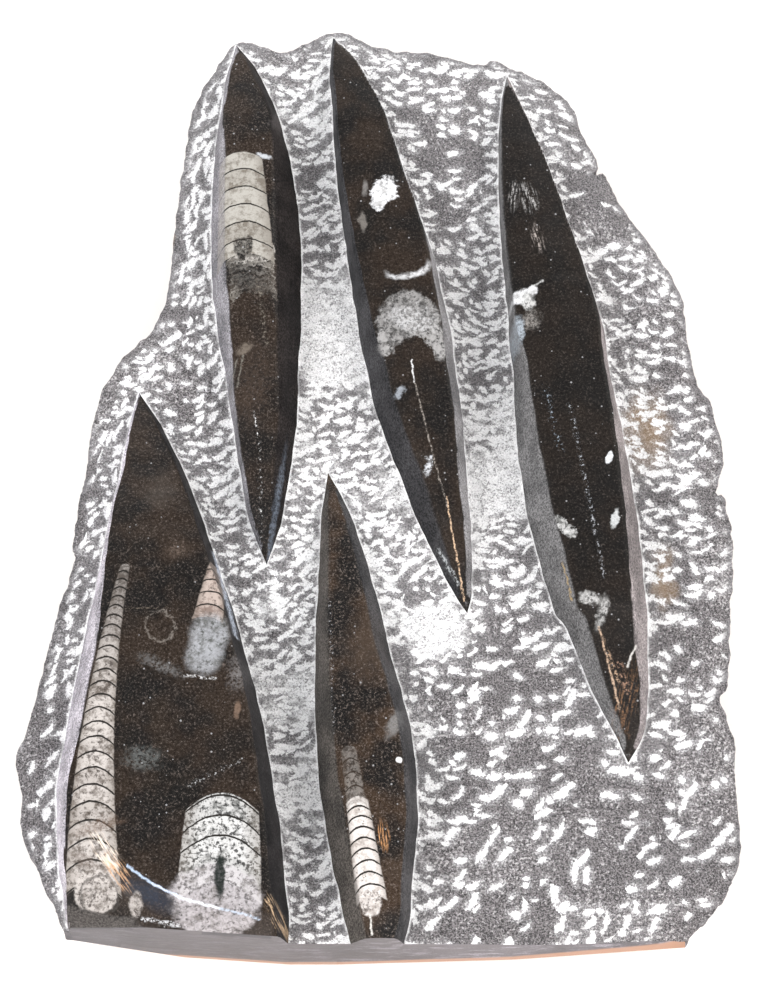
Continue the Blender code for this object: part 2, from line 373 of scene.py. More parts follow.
def addFacePoints(points, kinds, loop, ridgeRows):   # a jittered hexagonal lay of points on the face
    step = plaque["meshStep"]
    rng = np.random.default_rng(plaque["seed"])
    grid = staggered(plaque["sheetHalf"], step, step * 0.866)
    grid += rng.uniform(-plaque["jitter"], plaque["jitter"], grid.shape) * step
    grid = grid[insidePolygon(grid, np.array(loop))]
    for rows in ridgeRows.values():
        left, right = edgesAt(rows, grid[:, 1])
        within = (grid[:, 1] < rows[0, 0] + 0.3) & (grid[:, 1] > rows[-1, 0] - 0.3)
        grid = grid[~(within & (grid[:, 0] > left - 0.45) & (grid[:, 0] < right + 0.45))]
    fixed = [p for p, k in zip(points, kinds) if k[0] != "ridge"]
    grid = grid[nearest(grid, fixed) > 0.5 * step]
    points = points + [tuple(p) for p in grid]
    kinds = kinds + [("face", "")] * len(grid)
    return points, kinds


def faceHeights(points, rimPoints):   # the face before it is hammered
    fromRim = nearest(points, rimPoints)
    drop = (plaque["faceHeight"] - plaque["rimHeight"]) * np.exp(-(fromRim / plaque["rimDropWidth"]) ** 1.5)
    uneven = sum(noiseAt(points, *wave[:3]) * wave[3] for wave in plaque["waves"])
    footGap = points[:, 1] - footLine(points[:, 0])
    worn = plaque["footDrop"] * smoothStep(points[:, 0], 25.0, 60.0) + 0.5
    drop = drop + worn * np.exp(-(footGap / plaque["footDropWidth"]) ** 1.3)
    *wave, height = plaque["rimWave"]
    roughRim = noiseAt(points, *wave) * height * np.exp(-(fromRim / plaque["rimWaveWidth"]) ** 2)
    return plaque["faceHeight"] + uneven - drop + roughRim


def sheetHeights(points, kinds, ridgeRows, footStart):   # the face, with the ridges standing on it
    points = np.array(points)
    heights = faceHeights(points, points[:footStart])
    names = np.array([k[1] for k in kinds])
    sorts = np.array([k[0] for k in kinds])
    for name, rows in ridgeRows.items():
        pick = (sorts == "ridge") & (names == name)
        if name in atFoot:
            left, right = edgesAt(rows, points[:, 1])
            foot = (sorts == "foot") & (points[:, 0] > left + 0.01) & (points[:, 0] < right - 0.01)
            pick = pick | foot
        x, y = points[pick, 0], points[pick, 1]
        left, right = edgesAt(rows, y)
        heights[pick] = plaque["faceHeight"] + ridgeRise(name, x, y, left, right)
    return points, heights


def flankRows(points, heights, footStart, loopSize):   # rings of points from the rim down to the back
    rim = points[:loopSize]
    top = heights[:loopSize]
    isFoot = np.arange(loopSize) >= footStart
    toFoot = np.minimum(np.arange(loopSize), np.abs(footStart - np.arange(loopSize)))
    broken = np.where(isFoot, 0.0, smoothStep(toFoot, 0, 7))
    chipTop = np.maximum((rim[:, 0] - plaque["chipStart"]) * plaque["chipRise"], 0.0)
    least = flank["chipLeast"]
    chipTop = np.where(isFoot | (toFoot < 10), np.clip(chipTop, least, flank["chipMost"]), least)
    chipIn = np.maximum((rim[:, 0] - plaque["chipStart"]) * plaque["chipReach"], 0.0) + 0.9
    cornerX, cornerRise, cornerReach = plaque["cornerChip"]
    lost = np.where(isFoot | (toFoot < 12), np.maximum(cornerX - rim[:, 0], 0.0), 0.0)
    chipTop = np.maximum(chipTop, np.minimum(lost * cornerRise, flank["cornerMost"]))
    chipIn = chipIn + lost * cornerReach
    flat = flank["sawnShare"]
    rows = []
    for k, share in enumerate(flank["shares"]):
        z = top * (1.0 - share)
        seeds = np.stack([rim[:, 0] * 1.1, rim[:, 1] * 1.1 + z * 2.2], axis=1)
        bumps = noiseAt(seeds, 9.0, 4, 2.2 + 0.01 * k) * flank["bumps"]
        steps = np.round(noiseAt(seeds, 14.0, 2, 6.4) * 3.0) / 3.0 * flank["steps"]
        window = math.sin(math.pi * min(share * 1.1, 1.0)) ** 0.6 if share < 1.0 else 0.0
        inward = flank["undercut"] * smoothStep(share, 0.35, 1.0) ** 1.4 + 0.3 * share
        shrink = (inward + window * (0.9 + bumps + steps).clip(-0.3, 4.0)) / 105.0
        brokenPlace = rim * (1.0 - shrink)[:, None]
        sawnZ = np.where(share < flat, top + (chipTop - top) * share / flat,
                         chipTop * (1.0 - (share - flat) / (1.0 - flat)))
        under = np.clip((share - flat) / (1.0 - flat), 0.0, 1.0)
        sawnPlace = rim.copy()
        sawnPlace[:, 1] -= plaque["footSlant"] * min(share / flat, 1.0)
        sawnPlace[:, 1] += chipIn * under ** 1.1
        sawnPlace[:, 0] *= 1.0 - 0.012 * under
        mix = broken[:, None]
        place = sawnPlace * (1.0 - mix) + brokenPlace * mix
        height = sawnZ * (1.0 - broken) + z * broken
        if share == 1.0:
            height = np.zeros_like(height)
        rows.append((place, height))
    return rows


def fillBack(ring):   # triangles over the sawn back, inside its ring
    grid = staggered((105.0, 148.0), 8.0, 7.0)
    grid = grid[insidePolygon(grid, ring)]
    grid = grid[nearest(grid, ring) > 3.0]
    flat = [tuple(p) for p in ring] + [tuple(p) for p in grid]
    return delaunay_2d_cdt([Vector(p) for p in flat], [], [list(range(len(ring)))], 1, 1e-5)


def sheetSlots(centres, ridgeRows):   # 0 on the face, then one for each ridge
    slots = np.zeros(len(centres), int)
    for number, rows in enumerate(ridgeRows.values(), 1):
        left, right = edgesAt(rows, centres[:, 1])
        hit = (centres[:, 0] > left) & (centres[:, 0] < right)
        hit &= (centres[:, 1] < rows[0, 0]) & (centres[:, 1] > rows[-1, 0])
        slots[hit] = number
    return slots.tolist()


# rings of faces round the rim, foot and broken side; returns the last ring's place and its vertices
def addFlanks(vertices, faces, slots, points, rows, footStart, loopSize):
    sawnSlot, brokenSlot = len(ridges) + 1, len(ridges) + 2
    previous = list(range(loopSize))
    for k, (place, height) in enumerate(rows):
        current = list(range(len(vertices), len(vertices) + loopSize))
        vertices += [(p[0], p[1], h) for p, h in zip(place, height)]
        for i in range(loopSize):
            j = (i + 1) % loopSize
            faces.append((previous[j], previous[i], current[i]))
            faces.append((previous[j], current[i], current[j]))
            onFoot = i >= footStart - 1 and (k < flank["footSlot"] or points[i, 0] < plaque["chipStart"])
            slots += [sawnSlot if onFoot else brokenSlot] * 2
        previous = current
    return place, previous


def addBack(vertices, faces, slots, ring, ringVertices):
    backPoints, _, backFaces, backSources, _, _ = fillBack(ring)
    index = []
    for point, source in zip(backPoints, backSources):
        if source and source[0] < len(ringVertices):
            index.append(ringVertices[source[0]])
        else:
            index.append(len(vertices))
            vertices.append((point[0], point[1], 0.0))
    for face in backFaces:
        faces.append(tuple(index[i] for i in reversed(face)))
        slots.append(len(ridges) + 3)


def faceOutwards(mesh):
    bm = bmesh.new()
    bm.from_mesh(mesh)
    bmesh.ops.recalc_face_normals(bm, faces=bm.faces)
    openEdges = [e for e in bm.edges if len(e.link_faces) != 2]
    print("stone:", len(bm.verts), "points,", len(bm.faces), "triangles,", len(openEdges), "open edges")
    bm.to_mesh(mesh)
    bm.free()


def buildStone():
    points, kinds, keptEdges, loopSize, footStart, ridgeRows = layOut()
    print("laid out", len(points), "points on the face")
    result = delaunay_2d_cdt([Vector(p) for p in points], keptEdges, [list(range(loopSize))], 1, 1e-5)
    triangles, sources = result[2], result[3]
    order = [source[0] if source else -1 for source in sources]
    if min(order) < 0 or len(order) != len(points):
        print("lay-out changed:", len(points), len(order), order.count(-1))
    points, heights = sheetHeights(points, kinds, ridgeRows, footStart)
    vertices = [(p[0], p[1], h) for p, h in zip(points, heights)]
    faces = [tuple(order[i] for i in tri) for tri in triangles]
    slots = sheetSlots(points[np.array(faces)].mean(axis=1), ridgeRows)
    rows = flankRows(points, heights, footStart, loopSize)
    ring, ringVertices = addFlanks(vertices, faces, slots, points, rows, footStart, loopSize)
    addBack(vertices, faces, slots, ring, ringVertices)
    mesh = bpy.data.meshes.new("fossilStone")
    mesh.from_pydata([Vector(v) * mm for v in vertices], [], faces)
    mesh.polygons.foreach_set("material_index", slots)
    writeAttributes(mesh, points, kinds, ridgeRows, footStart, len(vertices))
    writeBakeMap(mesh, np.array(vertices), slots, loopSize, len(points), len(rows))
    faceOutwards(mesh)
    stone = bpy.data.objects.new("fossilStone", mesh)
    bpy.context.collection.objects.link(stone)
    return stone


def leanOver(points, ridgeRows):   # the lean of the stroke at every point
    pull = np.zeros(len(points))
    total = np.full(len(points), strokeLean["level"])
    for name, rows in ridgeRows.items():
        for side in (1, 2):
            gap = nearest(points, rows[::2, (side, 0)])
            weight = np.exp(-gap / strokeLean["fade"])
            pull += weight * strokeLean[name][side - 1]
            total += weight
    return pull / total


def writeAttributes(mesh, points, kinds, ridgeRows, footStart, total):
    sorts = np.array([k[0] for k in kinds])
    fromEdge = nearest(points, points[sorts == "edge"])
    fromRim = nearest(points, points[:footStart])
    fromFoot = points[:, 1] - footLine(points[:, 0])
    onFace = np.isin(sorts, ("face", "edge", "rim", "foot"))
    hammered = onFace * smoothStep(fromEdge, 0.0, 1.1) * smoothStep(fromRim, 0.0, 2.0)
    hammered = hammered * smoothStep(fromFoot, 0.0, 1.5)
    far = 20.0
    # each value on the face, and what stands in for it on the sides and the back
    values = {"hammered": (hammered, 0.0), "edgeGap": (np.minimum(fromEdge, far), far),
              "rimGap": (np.minimum(fromRim, far), 0.0), "lean": (leanOver(points, ridgeRows), 0.0)}
    for name, (column, rest) in values.items():
        full = np.full(total, rest)
        full[:len(column)] = column
        mesh.attributes.new(name, "FLOAT", "POINT").data.foreach_set("value", full)


def writeBakeMap(mesh, vertices, slots, loopSize, faceTotal, rowTotal):   # one flat map with no overlaps
    ring = np.vstack([vertices[:loopSize], vertices[:1]])
    along = np.concatenate([[0.0], np.cumsum(np.linalg.norm(np.diff(ring[:, :2], axis=0), axis=1))])
    stripLength = along[-1] / bakeMap["strips"] + 0.001
    layer = mesh.uv_layers.new(name="OFBake")
    flat = np.zeros((len(mesh.loops), 2))
    corners = np.zeros(len(mesh.loops), int)
    mesh.loops.foreach_get("vertex_index", corners)
    corners = corners.reshape(-1, 3)
    slots = np.array(slots)
    sheetFaces = (corners < faceTotal).all(axis=1)
    backFaces = slots == max(slots)
    for index, tri in enumerate(corners):
        place = vertices[tri]
        if sheetFaces[index]:
            spot = (place[:, :2] + bakeMap["middle"]) / bakeMap["size"]
        elif backFaces[index]:
            spot = (place[:, :2] * (-1.0, 1.0) + bakeMap["middle"]) / bakeMap["size"] * bakeMap["backScale"]
            spot = spot + bakeMap["backCorner"]
        else:
            turn = np.where(tri < faceTotal, tri, (tri - faceTotal) % loopSize)
            if turn.max() - turn.min() > loopSize // 2:
                turn = np.where(turn == 0, loopSize, turn)
            depth = np.where(tri < faceTotal, 0, (tri - faceTotal) // loopSize + 1)
            strip = int(along[turn.min()] // stripLength)
            length = (along[turn] - strip * stripLength) * bakeMap["stripScale"] / bakeMap["size"]
            down = depth / rowTotal * bakeMap["stripWidth"] + strip * bakeMap["stripPitch"]
            spot = np.stack([down, length], axis=1) + bakeMap["stripCorner"]
        flat[index * 3:index * 3 + 3] = spot
    layer.data.foreach_set("uv", flat.ravel())


# small tools for building node trees
def feed(tree, value, socket):
    if isinstance(value, bpy.types.NodeSocket):
        tree.links.new(value, socket)
    elif value is not None:
        socket.default_value = value


# a node with its settings, then values or links for its inputs
def addNode(tree, kind, inputs=None, **settings):
    made = tree.nodes.new(kind)
    for key, value in settings.items():
        setattr(made, key, value)
    for key, value in (inputs or {}).items():
        feed(tree, value, made.inputs[key])
    return made


def calc(tree, operation, a, b=None, c=None, clamp=False):
    made = addNode(tree, "ShaderNodeMath", {0: a, 1: b, 2: c}, operation=operation, use_clamp=clamp)
    return made.outputs[0]


def plus(tree, a, b):
    return calc(tree, "ADD", a, b)


def minus(tree, a, b):
    return calc(tree, "SUBTRACT", a, b)


def divided(tree, a, b):
    return calc(tree, "DIVIDE", a, b)


def larger(tree, a, b):
    return calc(tree, "MAXIMUM", a, b)


def timesPlus(tree, a, b, c):   # a times b, plus c
    return calc(tree, "MULTIPLY_ADD", a, b, c)


def product(tree, *values):
    result = values[0]
    for value in values[1:]:
        result = calc(tree, "MULTIPLY", result, value)
    return result


def gapTo(tree, value, middle):   # how far a value is from the middle one
    return calc(tree, "ABSOLUTE", minus(tree, value, middle))


def radial(tree, x, y):
    return calc(tree, "SQRT", plus(tree, product(tree, x, x), product(tree, y, y)))


def vectorCalc(tree, operation, a, b=None, output=0):
    return addNode(tree, "ShaderNodeVectorMath", {0: a, 1: b}, operation=operation).outputs[output]


def distance(tree, a, b):
    return vectorCalc(tree, "DISTANCE", a, b, output=1)


def scaled(tree, vector, factor):
    return addNode(tree, "ShaderNodeVectorMath", {0: vector, "Scale": factor}, operation="SCALE").outputs[0]


def stretched(tree, vector, factors):
    return vectorCalc(tree, "MULTIPLY", vector, factors)


def flattened(tree, vector):
    return stretched(tree, vector, (1.0, 1.0, 0.0))


def turned(tree, vector, angle):   # about the vertical
    inputs = {"Vector": vector, "Angle": angle}
    return addNode(tree, "ShaderNodeVectorRotate", inputs, rotation_type="Z_AXIS").outputs[0]


def parts(tree, vector):
    return addNode(tree, "ShaderNodeSeparateXYZ", {0: vector}).outputs


def joined(tree, inputs):
    return addNode(tree, "ShaderNodeCombineXYZ", inputs).outputs[0]


def ramp(tree, value, low, high, toLow=0.0, toHigh=1.0, kind="SMOOTHSTEP"):
    values = {"Value": value, "From Min": low, "From Max": high, "To Min": toLow, "To Max": toHigh}
    return addNode(tree, "ShaderNodeMapRange", values, interpolation_type=kind).outputs[0]


def slope(tree, value, low, high, toLow=0.0, toHigh=1.0):
    return ramp(tree, value, low, high, toLow, toHigh, "LINEAR")


def blend(tree, factor, a, b, how="MIX"):
    made = addNode(tree, "ShaderNodeMix", data_type="RGBA", blend_type=how)
    feed(tree, factor, made.inputs[0])
    for colour, number in ((a, 6), (b, 7)):
        linked = isinstance(colour, bpy.types.NodeSocket)
        feed(tree, colour if linked else (*colour, 1.0), made.inputs[number])
    return made.outputs[2]


def noiseField(tree, place, scale, detail=3.0, roughness=0.55, output=0):
    values = {"Vector": place, "Scale": scale, "Detail": detail, "Roughness": roughness}
    return addNode(tree, "ShaderNodeTexNoise", values).outputs[output]


def wander(tree, place, scale, detail=2.0, roughness=0.5):   # a vector that drifts between about -1 and 1
    push = vectorCalc(tree, "SUBTRACT", noiseField(tree, place, scale, detail, roughness, 1), (0.5, 0.5, 0.5))
    return scaled(tree, push, 3.5)


def pushed(tree, place, drift, amount):   # the place moved by a drift, amount in millimetres
    return vectorCalc(tree, "ADD", place, scaled(tree, drift, amount))


def attribute(tree, name):
    return addNode(tree, "ShaderNodeAttribute", attribute_name=name).outputs["Fac"]


def facing(tree):   # the parts of the direction that the surface faces
    return parts(tree, tree.nodes.new("ShaderNodeNewGeometry").outputs["Normal"])


def newGroup(name, inputs, outputs):   # each input is None for a vector, a number or a colour
    tree = bpy.data.node_groups.new(name, "ShaderNodeTree")
    for socketName, value in inputs.items():
        kind = "Vector" if value is None else "Color" if isinstance(value, tuple) else "Float"
        socket = tree.interface.new_socket(socketName, in_out="INPUT", socket_type="NodeSocket" + kind)
        if value is not None:
            socket.default_value = value
    for socketName in outputs:
        kind = "Color" if socketName == "Colour" else "Float"
        tree.interface.new_socket(socketName, in_out="OUTPUT", socket_type="NodeSocket" + kind)
    return tree, tree.nodes.new("NodeGroupInput").outputs


def finishGroup(tree, results):
    out = tree.nodes.new("NodeGroupOutput").inputs
    for name, value in results.items():
        feed(tree, value, out[name])
    return tree


def useGroup(tree, group, inputs):
    return addNode(tree, "ShaderNodeGroup", inputs, node_tree=group).outputs


# hammer strikes: one field for the dents in the mesh and for the white bruises in them
hammer = {
    "spacing": 4.7,        # millimetres between the strikes of one layer
    "length": 2.7,         # half length of a strike
    "width": 0.82,
    "depth": 0.42,
    "grainDepth": 0.14,
    "seed": 4.0,
    "layers": [(0.0, 0.0, 0.0), (37.3, 11.9, 0.0), (-21.7, 53.1, 0.0), (61.3, -40.7, 0.0)],
    "heavyLayers": 2,      # the last layers hold heavier, wider spaced strikes
    "heavier": 1.4,
    "lengths": (0.35, 1.25),   # shortest and longest, as shares of the length
    "widths": (0.65, 1.35),
    "fan": 1.7,            # radians between the strikes that turn the most each way
    "ragged": 0.65,        # millimetres that the edge of a strike wanders by
    # well beaten spots, or with a minus sparse ones: x, y, radius, share added
    "spots": [
        (-17.0, 50.0, 20.0, 0.7), (-15.0, 36.0, 16.0, 0.7), (37.0, 42.0, 18.0, 0.2),
        (38.5, 16.0, 15.0, 0.55), (39.5, -6.0, 17.0, 1.0), (17.0, -54.0, 14.0, 0.8),
        (90.0, 2.0, 13.0, 0.5), (-22.0, 118.0, 13.0, 0.5), (-24.0, -102.0, 20.0, 0.65),
        (-29.0, -72.0, 20.0, 0.6), (22.0, 103.0, 26.0, -0.42), (70.0, 88.0, 28.0, -0.5),
        (90.0, 45.0, 20.0, -0.12), (-72.0, 30.0, 24.0, -0.2), (-97.0, -85.0, 24.0, -0.15),
        (8.0, 135.0, 14.0, 0.25), (30.0, 92.0, 12.0, 0.1), (-34.0, -45.0, 10.0, 0.6),
        (56.0, -145.0, 8.0, 0.35)],
    "besideWidth": 11.0,   # more strikes this close to the ridges
    "besideShare": 0.36,
    "middle": (2.0, -5.0, 95.0, 0.4),   # x, y, radius and share added over the middle of the face
}
marks = {   # what turns white: a strike where crumbs add enough to it, and crushed stone where strikes crowd
    "crumbs": 3.2, "bruise": (1.92, 2.52), "dust": 0.7, "blotch": 1.6, "powder": (1.95, 2.42), "haze": 0.6}


def strikeAngle(tree, place, lean):   # strokes near the right of the foot stand up
    x, y, _ = parts(tree, place)
    nearFoot = product(tree, ramp(tree, y, -110.0, -130.0), ramp(tree, x, 4.0, 18.0),
                       ramp(tree, x, 84.0, 62.0))
    lowRight = product(tree, ramp(tree, y, -40.0, -85.0), ramp(tree, x, 0.0, 30.0), 0.3)
    return timesPlus(tree, nearFoot, 0.35, plus(tree, lean, plus(tree, lowRight, 0.04)))


def strikeLayer(tree, place, shift, spacing, length, width, coverage, angle):   # one strike in each cell
    moved = vectorCalc(tree, "ADD", place, shift)
    cells = addNode(tree, "ShaderNodeTexVoronoi", voronoi_dimensions="2D")
    for key, value in (("Vector", moved), ("Scale", divided(tree, 1.0, spacing)), ("Randomness", 0.9)):
        feed(tree, value, cells.inputs[key])
    chance, lengthChance, widthChance = parts(tree, cells.outputs["Color"])
    turn = timesPlus(tree, lengthChance, -hammer["fan"], hammer["fan"] / 2)
    fromStrike = vectorCalc(tree, "SUBTRACT", moved, cells.outputs["Position"])
    offset = turned(tree, fromStrike, minus(tree, turn, angle))
    x, y, _ = parts(tree, offset)
    bowed = timesPlus(tree, product(tree, x, x), timesPlus(tree, chance, 0.3, -0.1), y)
    x = divided(tree, x, product(tree, length, slope(tree, lengthChance, 0.0, 1.0, *hammer["lengths"])))
    y = divided(tree, bowed, product(tree, width, slope(tree, widthChance, 0.0, 1.0, *hammer["widths"])))
    missed = ramp(tree, minus(tree, coverage, chance), 0.03, -0.02, 0.0, 9.0)
    return plus(tree, radial(tree, x, y), missed)


def coverageField(tree, place, edgeGap):   # the share of strikes that landed, more in the well beaten spots
    cover = slope(tree, noiseField(tree, place, 0.045, 3.0), 0.32, 0.68, 0.38, 0.84)
    x, y, radius, share = hammer["middle"]
    offset = stretched(tree, vectorCalc(tree, "SUBTRACT", place, (x, y, 0.0)), (1.9, 1.0, 0.0))
    wide = vectorCalc(tree, "LENGTH", offset, output=1)
    cover = plus(tree, cover, ramp(tree, wide, radius, 0.35 * radius, 0.0, share))
    cover = plus(tree, cover, ramp(tree, edgeGap, hammer["besideWidth"], 1.0, 0.0, hammer["besideShare"]))
    for x, y, radius, share in hammer["spots"]:
        gap = distance(tree, place, (x, y, 0.0))
        cover = plus(tree, cover, ramp(tree, gap, radius, 0.2 * radius, 0.0, share))
    return cover


def heavyShare(tree, place):   # 1 where the heavy strikes rule: low on the right, and by the left rim
    x, y, _ = parts(tree, place)
    lowRight = product(tree, ramp(tree, y, -5.0, -70.0), ramp(tree, x, -12.0, 22.0))
    leftRim = product(tree, ramp(tree, y, -25.0, -75.0), ramp(tree, x, -85.0, -96.0), 0.6)
    return larger(tree, lowRight, leftRim)


# the reach from the nearest strike, 0 at its middle and 1 at its edge, and the coverage
def strikeField(tree, place, edgeGap, lean, spacing, length, width, seed):
    place = flattened(tree, place)
    coverage = coverageField(tree, place, edgeGap)
    angle = strikeAngle(tree, place, lean)
    heavyHere = heavyShare(tree, place)
    ragged = pushed(tree, place, wander(tree, place, 0.5, 4.0, 0.7), hammer["ragged"])
    start = scaled(tree, joined(tree, {0: seed, 1: seed}), 7.0)
    field = None
    for number, shift in enumerate(hammer["layers"]):
        heavy = number >= len(hammer["layers"]) - hammer["heavyLayers"]
        size = hammer["heavier"] if heavy else 1.0
        share = ramp(tree, heavyHere, 0.0, 1.0, *((0.5, 0.75) if heavy else (1.0, 0.3)))
        layer = strikeLayer(tree, ragged, vectorCalc(tree, "ADD", start, shift), product(tree, spacing, size),
                            product(tree, length, size), product(tree, width, size),
                            product(tree, coverage, share), angle)
        field = layer if field is None else calc(tree, "MINIMUM", field, layer)
    return field, coverage


def hammerFace(piece, material):   # Geometry Nodes dent each strike into the face
    tree = bpy.data.node_groups.new("hammerFace", "GeometryNodeTree")
    tree.interface.new_socket("Stone", in_out="INPUT", socket_type="NodeSocketGeometry")
    wanted = {}
    for name, key in (("Strike Spacing", "spacing"), ("Strike Length", "length"), ("Strike Width", "width"),
                      ("Strike Depth", "depth"), ("Grain Depth", "grainDepth"), ("Seed", "seed")):
        socket = tree.interface.new_socket(name, in_out="INPUT", socket_type="NodeSocketFloat")
        wanted[socket.identifier] = hammer[key]
    socket = tree.interface.new_socket("Face Material", in_out="INPUT", socket_type="NodeSocketMaterial")
    wanted[socket.identifier] = material
    tree.interface.new_socket("Stone", in_out="OUTPUT", socket_type="NodeSocketGeometry")
    given = tree.nodes.new("NodeGroupInput").outputs
    place = scaled(tree, tree.nodes.new("GeometryNodeInputPosition").outputs[0], 1.0 / mm)
    share, edgeGap, lean = [
        addNode(tree, "GeometryNodeInputNamedAttribute", {"Name": name}, data_type="FLOAT").outputs[0]
        for name in ("hammered", "edgeGap", "lean")]
    field, _ = strikeField(tree, place, edgeGap, lean, given["Strike Spacing"], given["Strike Length"],
                           given["Strike Width"], given["Seed"])
    grain = minus(tree, noiseField(tree, place, 0.7, 4.0, 0.7), 0.5)
    drop = product(tree, ramp(tree, field, 1.3, 0.3), given["Strike Depth"], -1.0)
    drop = plus(tree, drop, product(tree, grain, given["Grain Depth"], 4.0))
    offset = joined(tree, {2: product(tree, drop, share, mm)})
    dented = addNode(tree, "GeometryNodeSetPosition", {"Geometry": given["Stone"], "Offset": offset})
    solid = addNode(tree, "GeometryNodeRealizeInstances", {0: dented.outputs[0]})
    slotNumber = tree.nodes.new("GeometryNodeInputMaterialIndex").outputs[0]
    onFace = addNode(tree, "FunctionNodeCompare", {2: slotNumber, 3: 0}, data_type="INT", operation="EQUAL")
    finished = addNode(tree, "GeometryNodeSetMaterial",
                       {"Geometry": solid.outputs[0], "Selection": onFace.outputs[0],
                        "Material": given["Face Material"]})
    tree.links.new(finished.outputs[0], tree.nodes.new("NodeGroupOutput").inputs[0])
    modifier = piece.modifiers.new("hammerFace", "NODES")
    modifier.node_group = tree
    for identifier, value in wanted.items():
        modifier[identifier] = value
    ready = piece.evaluated_get(bpy.context.evaluated_depsgraph_get())
    hammeredMesh = bpy.data.meshes.new_from_object(ready)
    piece.modifiers.remove(modifier)
    piece.data = hammeredMesh
    print("hammered the face:", len(hammeredMesh.polygons), "triangles, slots", len(hammeredMesh.materials))


# shared effects
def makeHammerMarks():   # white bruises and crushed powder, and a paler halo round them
    tree, given = newGroup(
        "hammerMarks", {"Place": None, "Edge Gap": 20.0, "Lean": 0.0, "Spacing": hammer["spacing"],
                        "Length": hammer["length"], "Width": hammer["width"], "Seed": hammer["seed"]},
        ["Bruise", "Halo"])
    place = given["Place"]
    field, coverage = strikeField(tree, place, given["Edge Gap"], given["Lean"], given["Spacing"],
                                  given["Length"], given["Width"], given["Seed"])
    crumbs = noiseField(tree, place, 1.7, 4.0, 0.8)
    struck = timesPlus(tree, crumbs, marks["crumbs"], ramp(tree, field, 1.4, 0.45))
    bruise = ramp(tree, struck, *marks["bruise"])
    dust = product(tree, ramp(tree, field, 2.4, 1.0), ramp(tree, crumbs, 0.5, 0.62), marks["dust"])
    crushed = timesPlus(tree, noiseField(tree, place, 0.2, 3.0, 0.65), marks["blotch"], coverage)
    powder = product(tree, ramp(tree, crushed, *marks["powder"]), ramp(tree, crumbs, 0.37, 0.55))
    haze = ramp(tree, coverage, 0.55, 1.1, 0.0, marks["haze"])
    return finishGroup(tree, {"Bruise": larger(tree, larger(tree, bruise, dust), powder),
                              "Halo": larger(tree, ramp(tree, field, 2.4, 0.8, 0.0, 0.8), haze)})


def makeStoneGrain():   # salt and pepper crystals, slow clouding, and the tooth of the surface
    tree, given = newGroup("stoneGrain", {"Place": None, "Grain": 0.6, "Cloud": 25.0},
                           ["Speckle", "Cloud", "Tooth"])
    place = given["Place"]
    fine = divided(tree, 1.0, given["Grain"])
    speckle = noiseField(tree, place, fine, 3.0, 0.75)
    cloud = noiseField(tree, place, divided(tree, 1.0, given["Cloud"]), 4.0, 0.6)
    tooth = noiseField(tree, place, product(tree, fine, 0.6), 5.0, 0.7)
    return finishGroup(tree, {"Speckle": ramp(tree, speckle, 0.42, 0.58),
                              "Cloud": ramp(tree, cloud, 0.32, 0.68), "Tooth": tooth})


def makeChamberedShell():   # a straight tapering shell cut along its length, with its chamber walls
    tree, given = newGroup(
        "chamberedShell",
        {"Place": None, "Wander": None, "Tip": None, "Mouth": None, "Tip Width": 4.0, "Mouth Width": 12.0,
         "Bend": 0.0, "First Gap": 4.0, "Gap Growth": 0.03, "Bow": 0.5, "Line": 0.4, "Ragged": 0.3,
         "Flare": 1.0, "Lines End": 200.0, "Line Offset": 0.0},
        ["Inside", "Septum", "Chamber", "Across", "Along", "Wall"])
    place = flattened(tree, pushed(tree, given["Place"], given["Wander"], given["Ragged"]))
    axis = vectorCalc(tree, "SUBTRACT", given["Mouth"], given["Tip"])
    length = vectorCalc(tree, "LENGTH", axis, output=1)
    way = vectorCalc(tree, "NORMALIZE", axis)
    fromTip = vectorCalc(tree, "SUBTRACT", place, given["Tip"])
    run = vectorCalc(tree, "DOT_PRODUCT", fromTip, way, output=1)
    side = vectorCalc(tree, "DOT_PRODUCT", fromTip, turned(tree, way, math.pi / 2), output=1)
    share = divided(tree, run, length)
    side = minus(tree, side, product(tree, share, minus(tree, 1.0, share), given["Bend"], 4.0))
    grown = minus(tree, given["Mouth Width"], given["Tip Width"])
    flared = calc(tree, "POWER", larger(tree, share, 0.0), given["Flare"])
    half = product(tree, timesPlus(tree, grown, flared, given["Tip Width"]), 0.5)
    across = divided(tree, side, larger(tree, half, 0.05))
    curved = minus(tree, run, product(tree, product(tree, across, across), half, given["Bow"]))
    edge = product(tree, minus(tree, 1.0, calc(tree, "ABSOLUTE", across)), half)
    ends = calc(tree, "MINIMUM", curved, minus(tree, length, curved))
    inside = product(tree, ramp(tree, edge, 0.0, 0.35), ramp(tree, ends, 0.0, 0.4))
    # the chambers grow by a steady share, so their count is a logarithm
    ratio = divided(tree, given["Gap Growth"], given["First Gap"])
    inner = larger(tree, timesPlus(tree, plus(tree, curved, given["Line Offset"]), ratio, 1.0), 0.05)
    count = divided(tree, calc(tree, "LOGARITHM", inner, math.e), given["Gap Growth"])
    nearLine = gapTo(tree, calc(tree, "FRACT", plus(tree, count, 0.5)), 0.5)
    lineGap = product(tree, nearLine, product(tree, inner, given["First Gap"]))
    septum = ramp(tree, minus(tree, lineGap, product(tree, given["Line"], 0.5)), 0.12, -0.05)
    septum = product(tree, septum, ramp(tree, minus(tree, given["Lines End"], curved), -0.1, 0.1))
    number = calc(tree, "FLOOR", count)
    chamber = addNode(tree, "ShaderNodeTexWhiteNoise", {"W": number}, noise_dimensions="1D")
    return finishGroup(tree, {
        "Inside": inside, "Septum": product(tree, septum, inside), "Chamber": chamber.outputs["Value"],
        "Across": across, "Along": share, "Wall": product(tree, ramp(tree, edge, 0.55, 0.1), inside)})


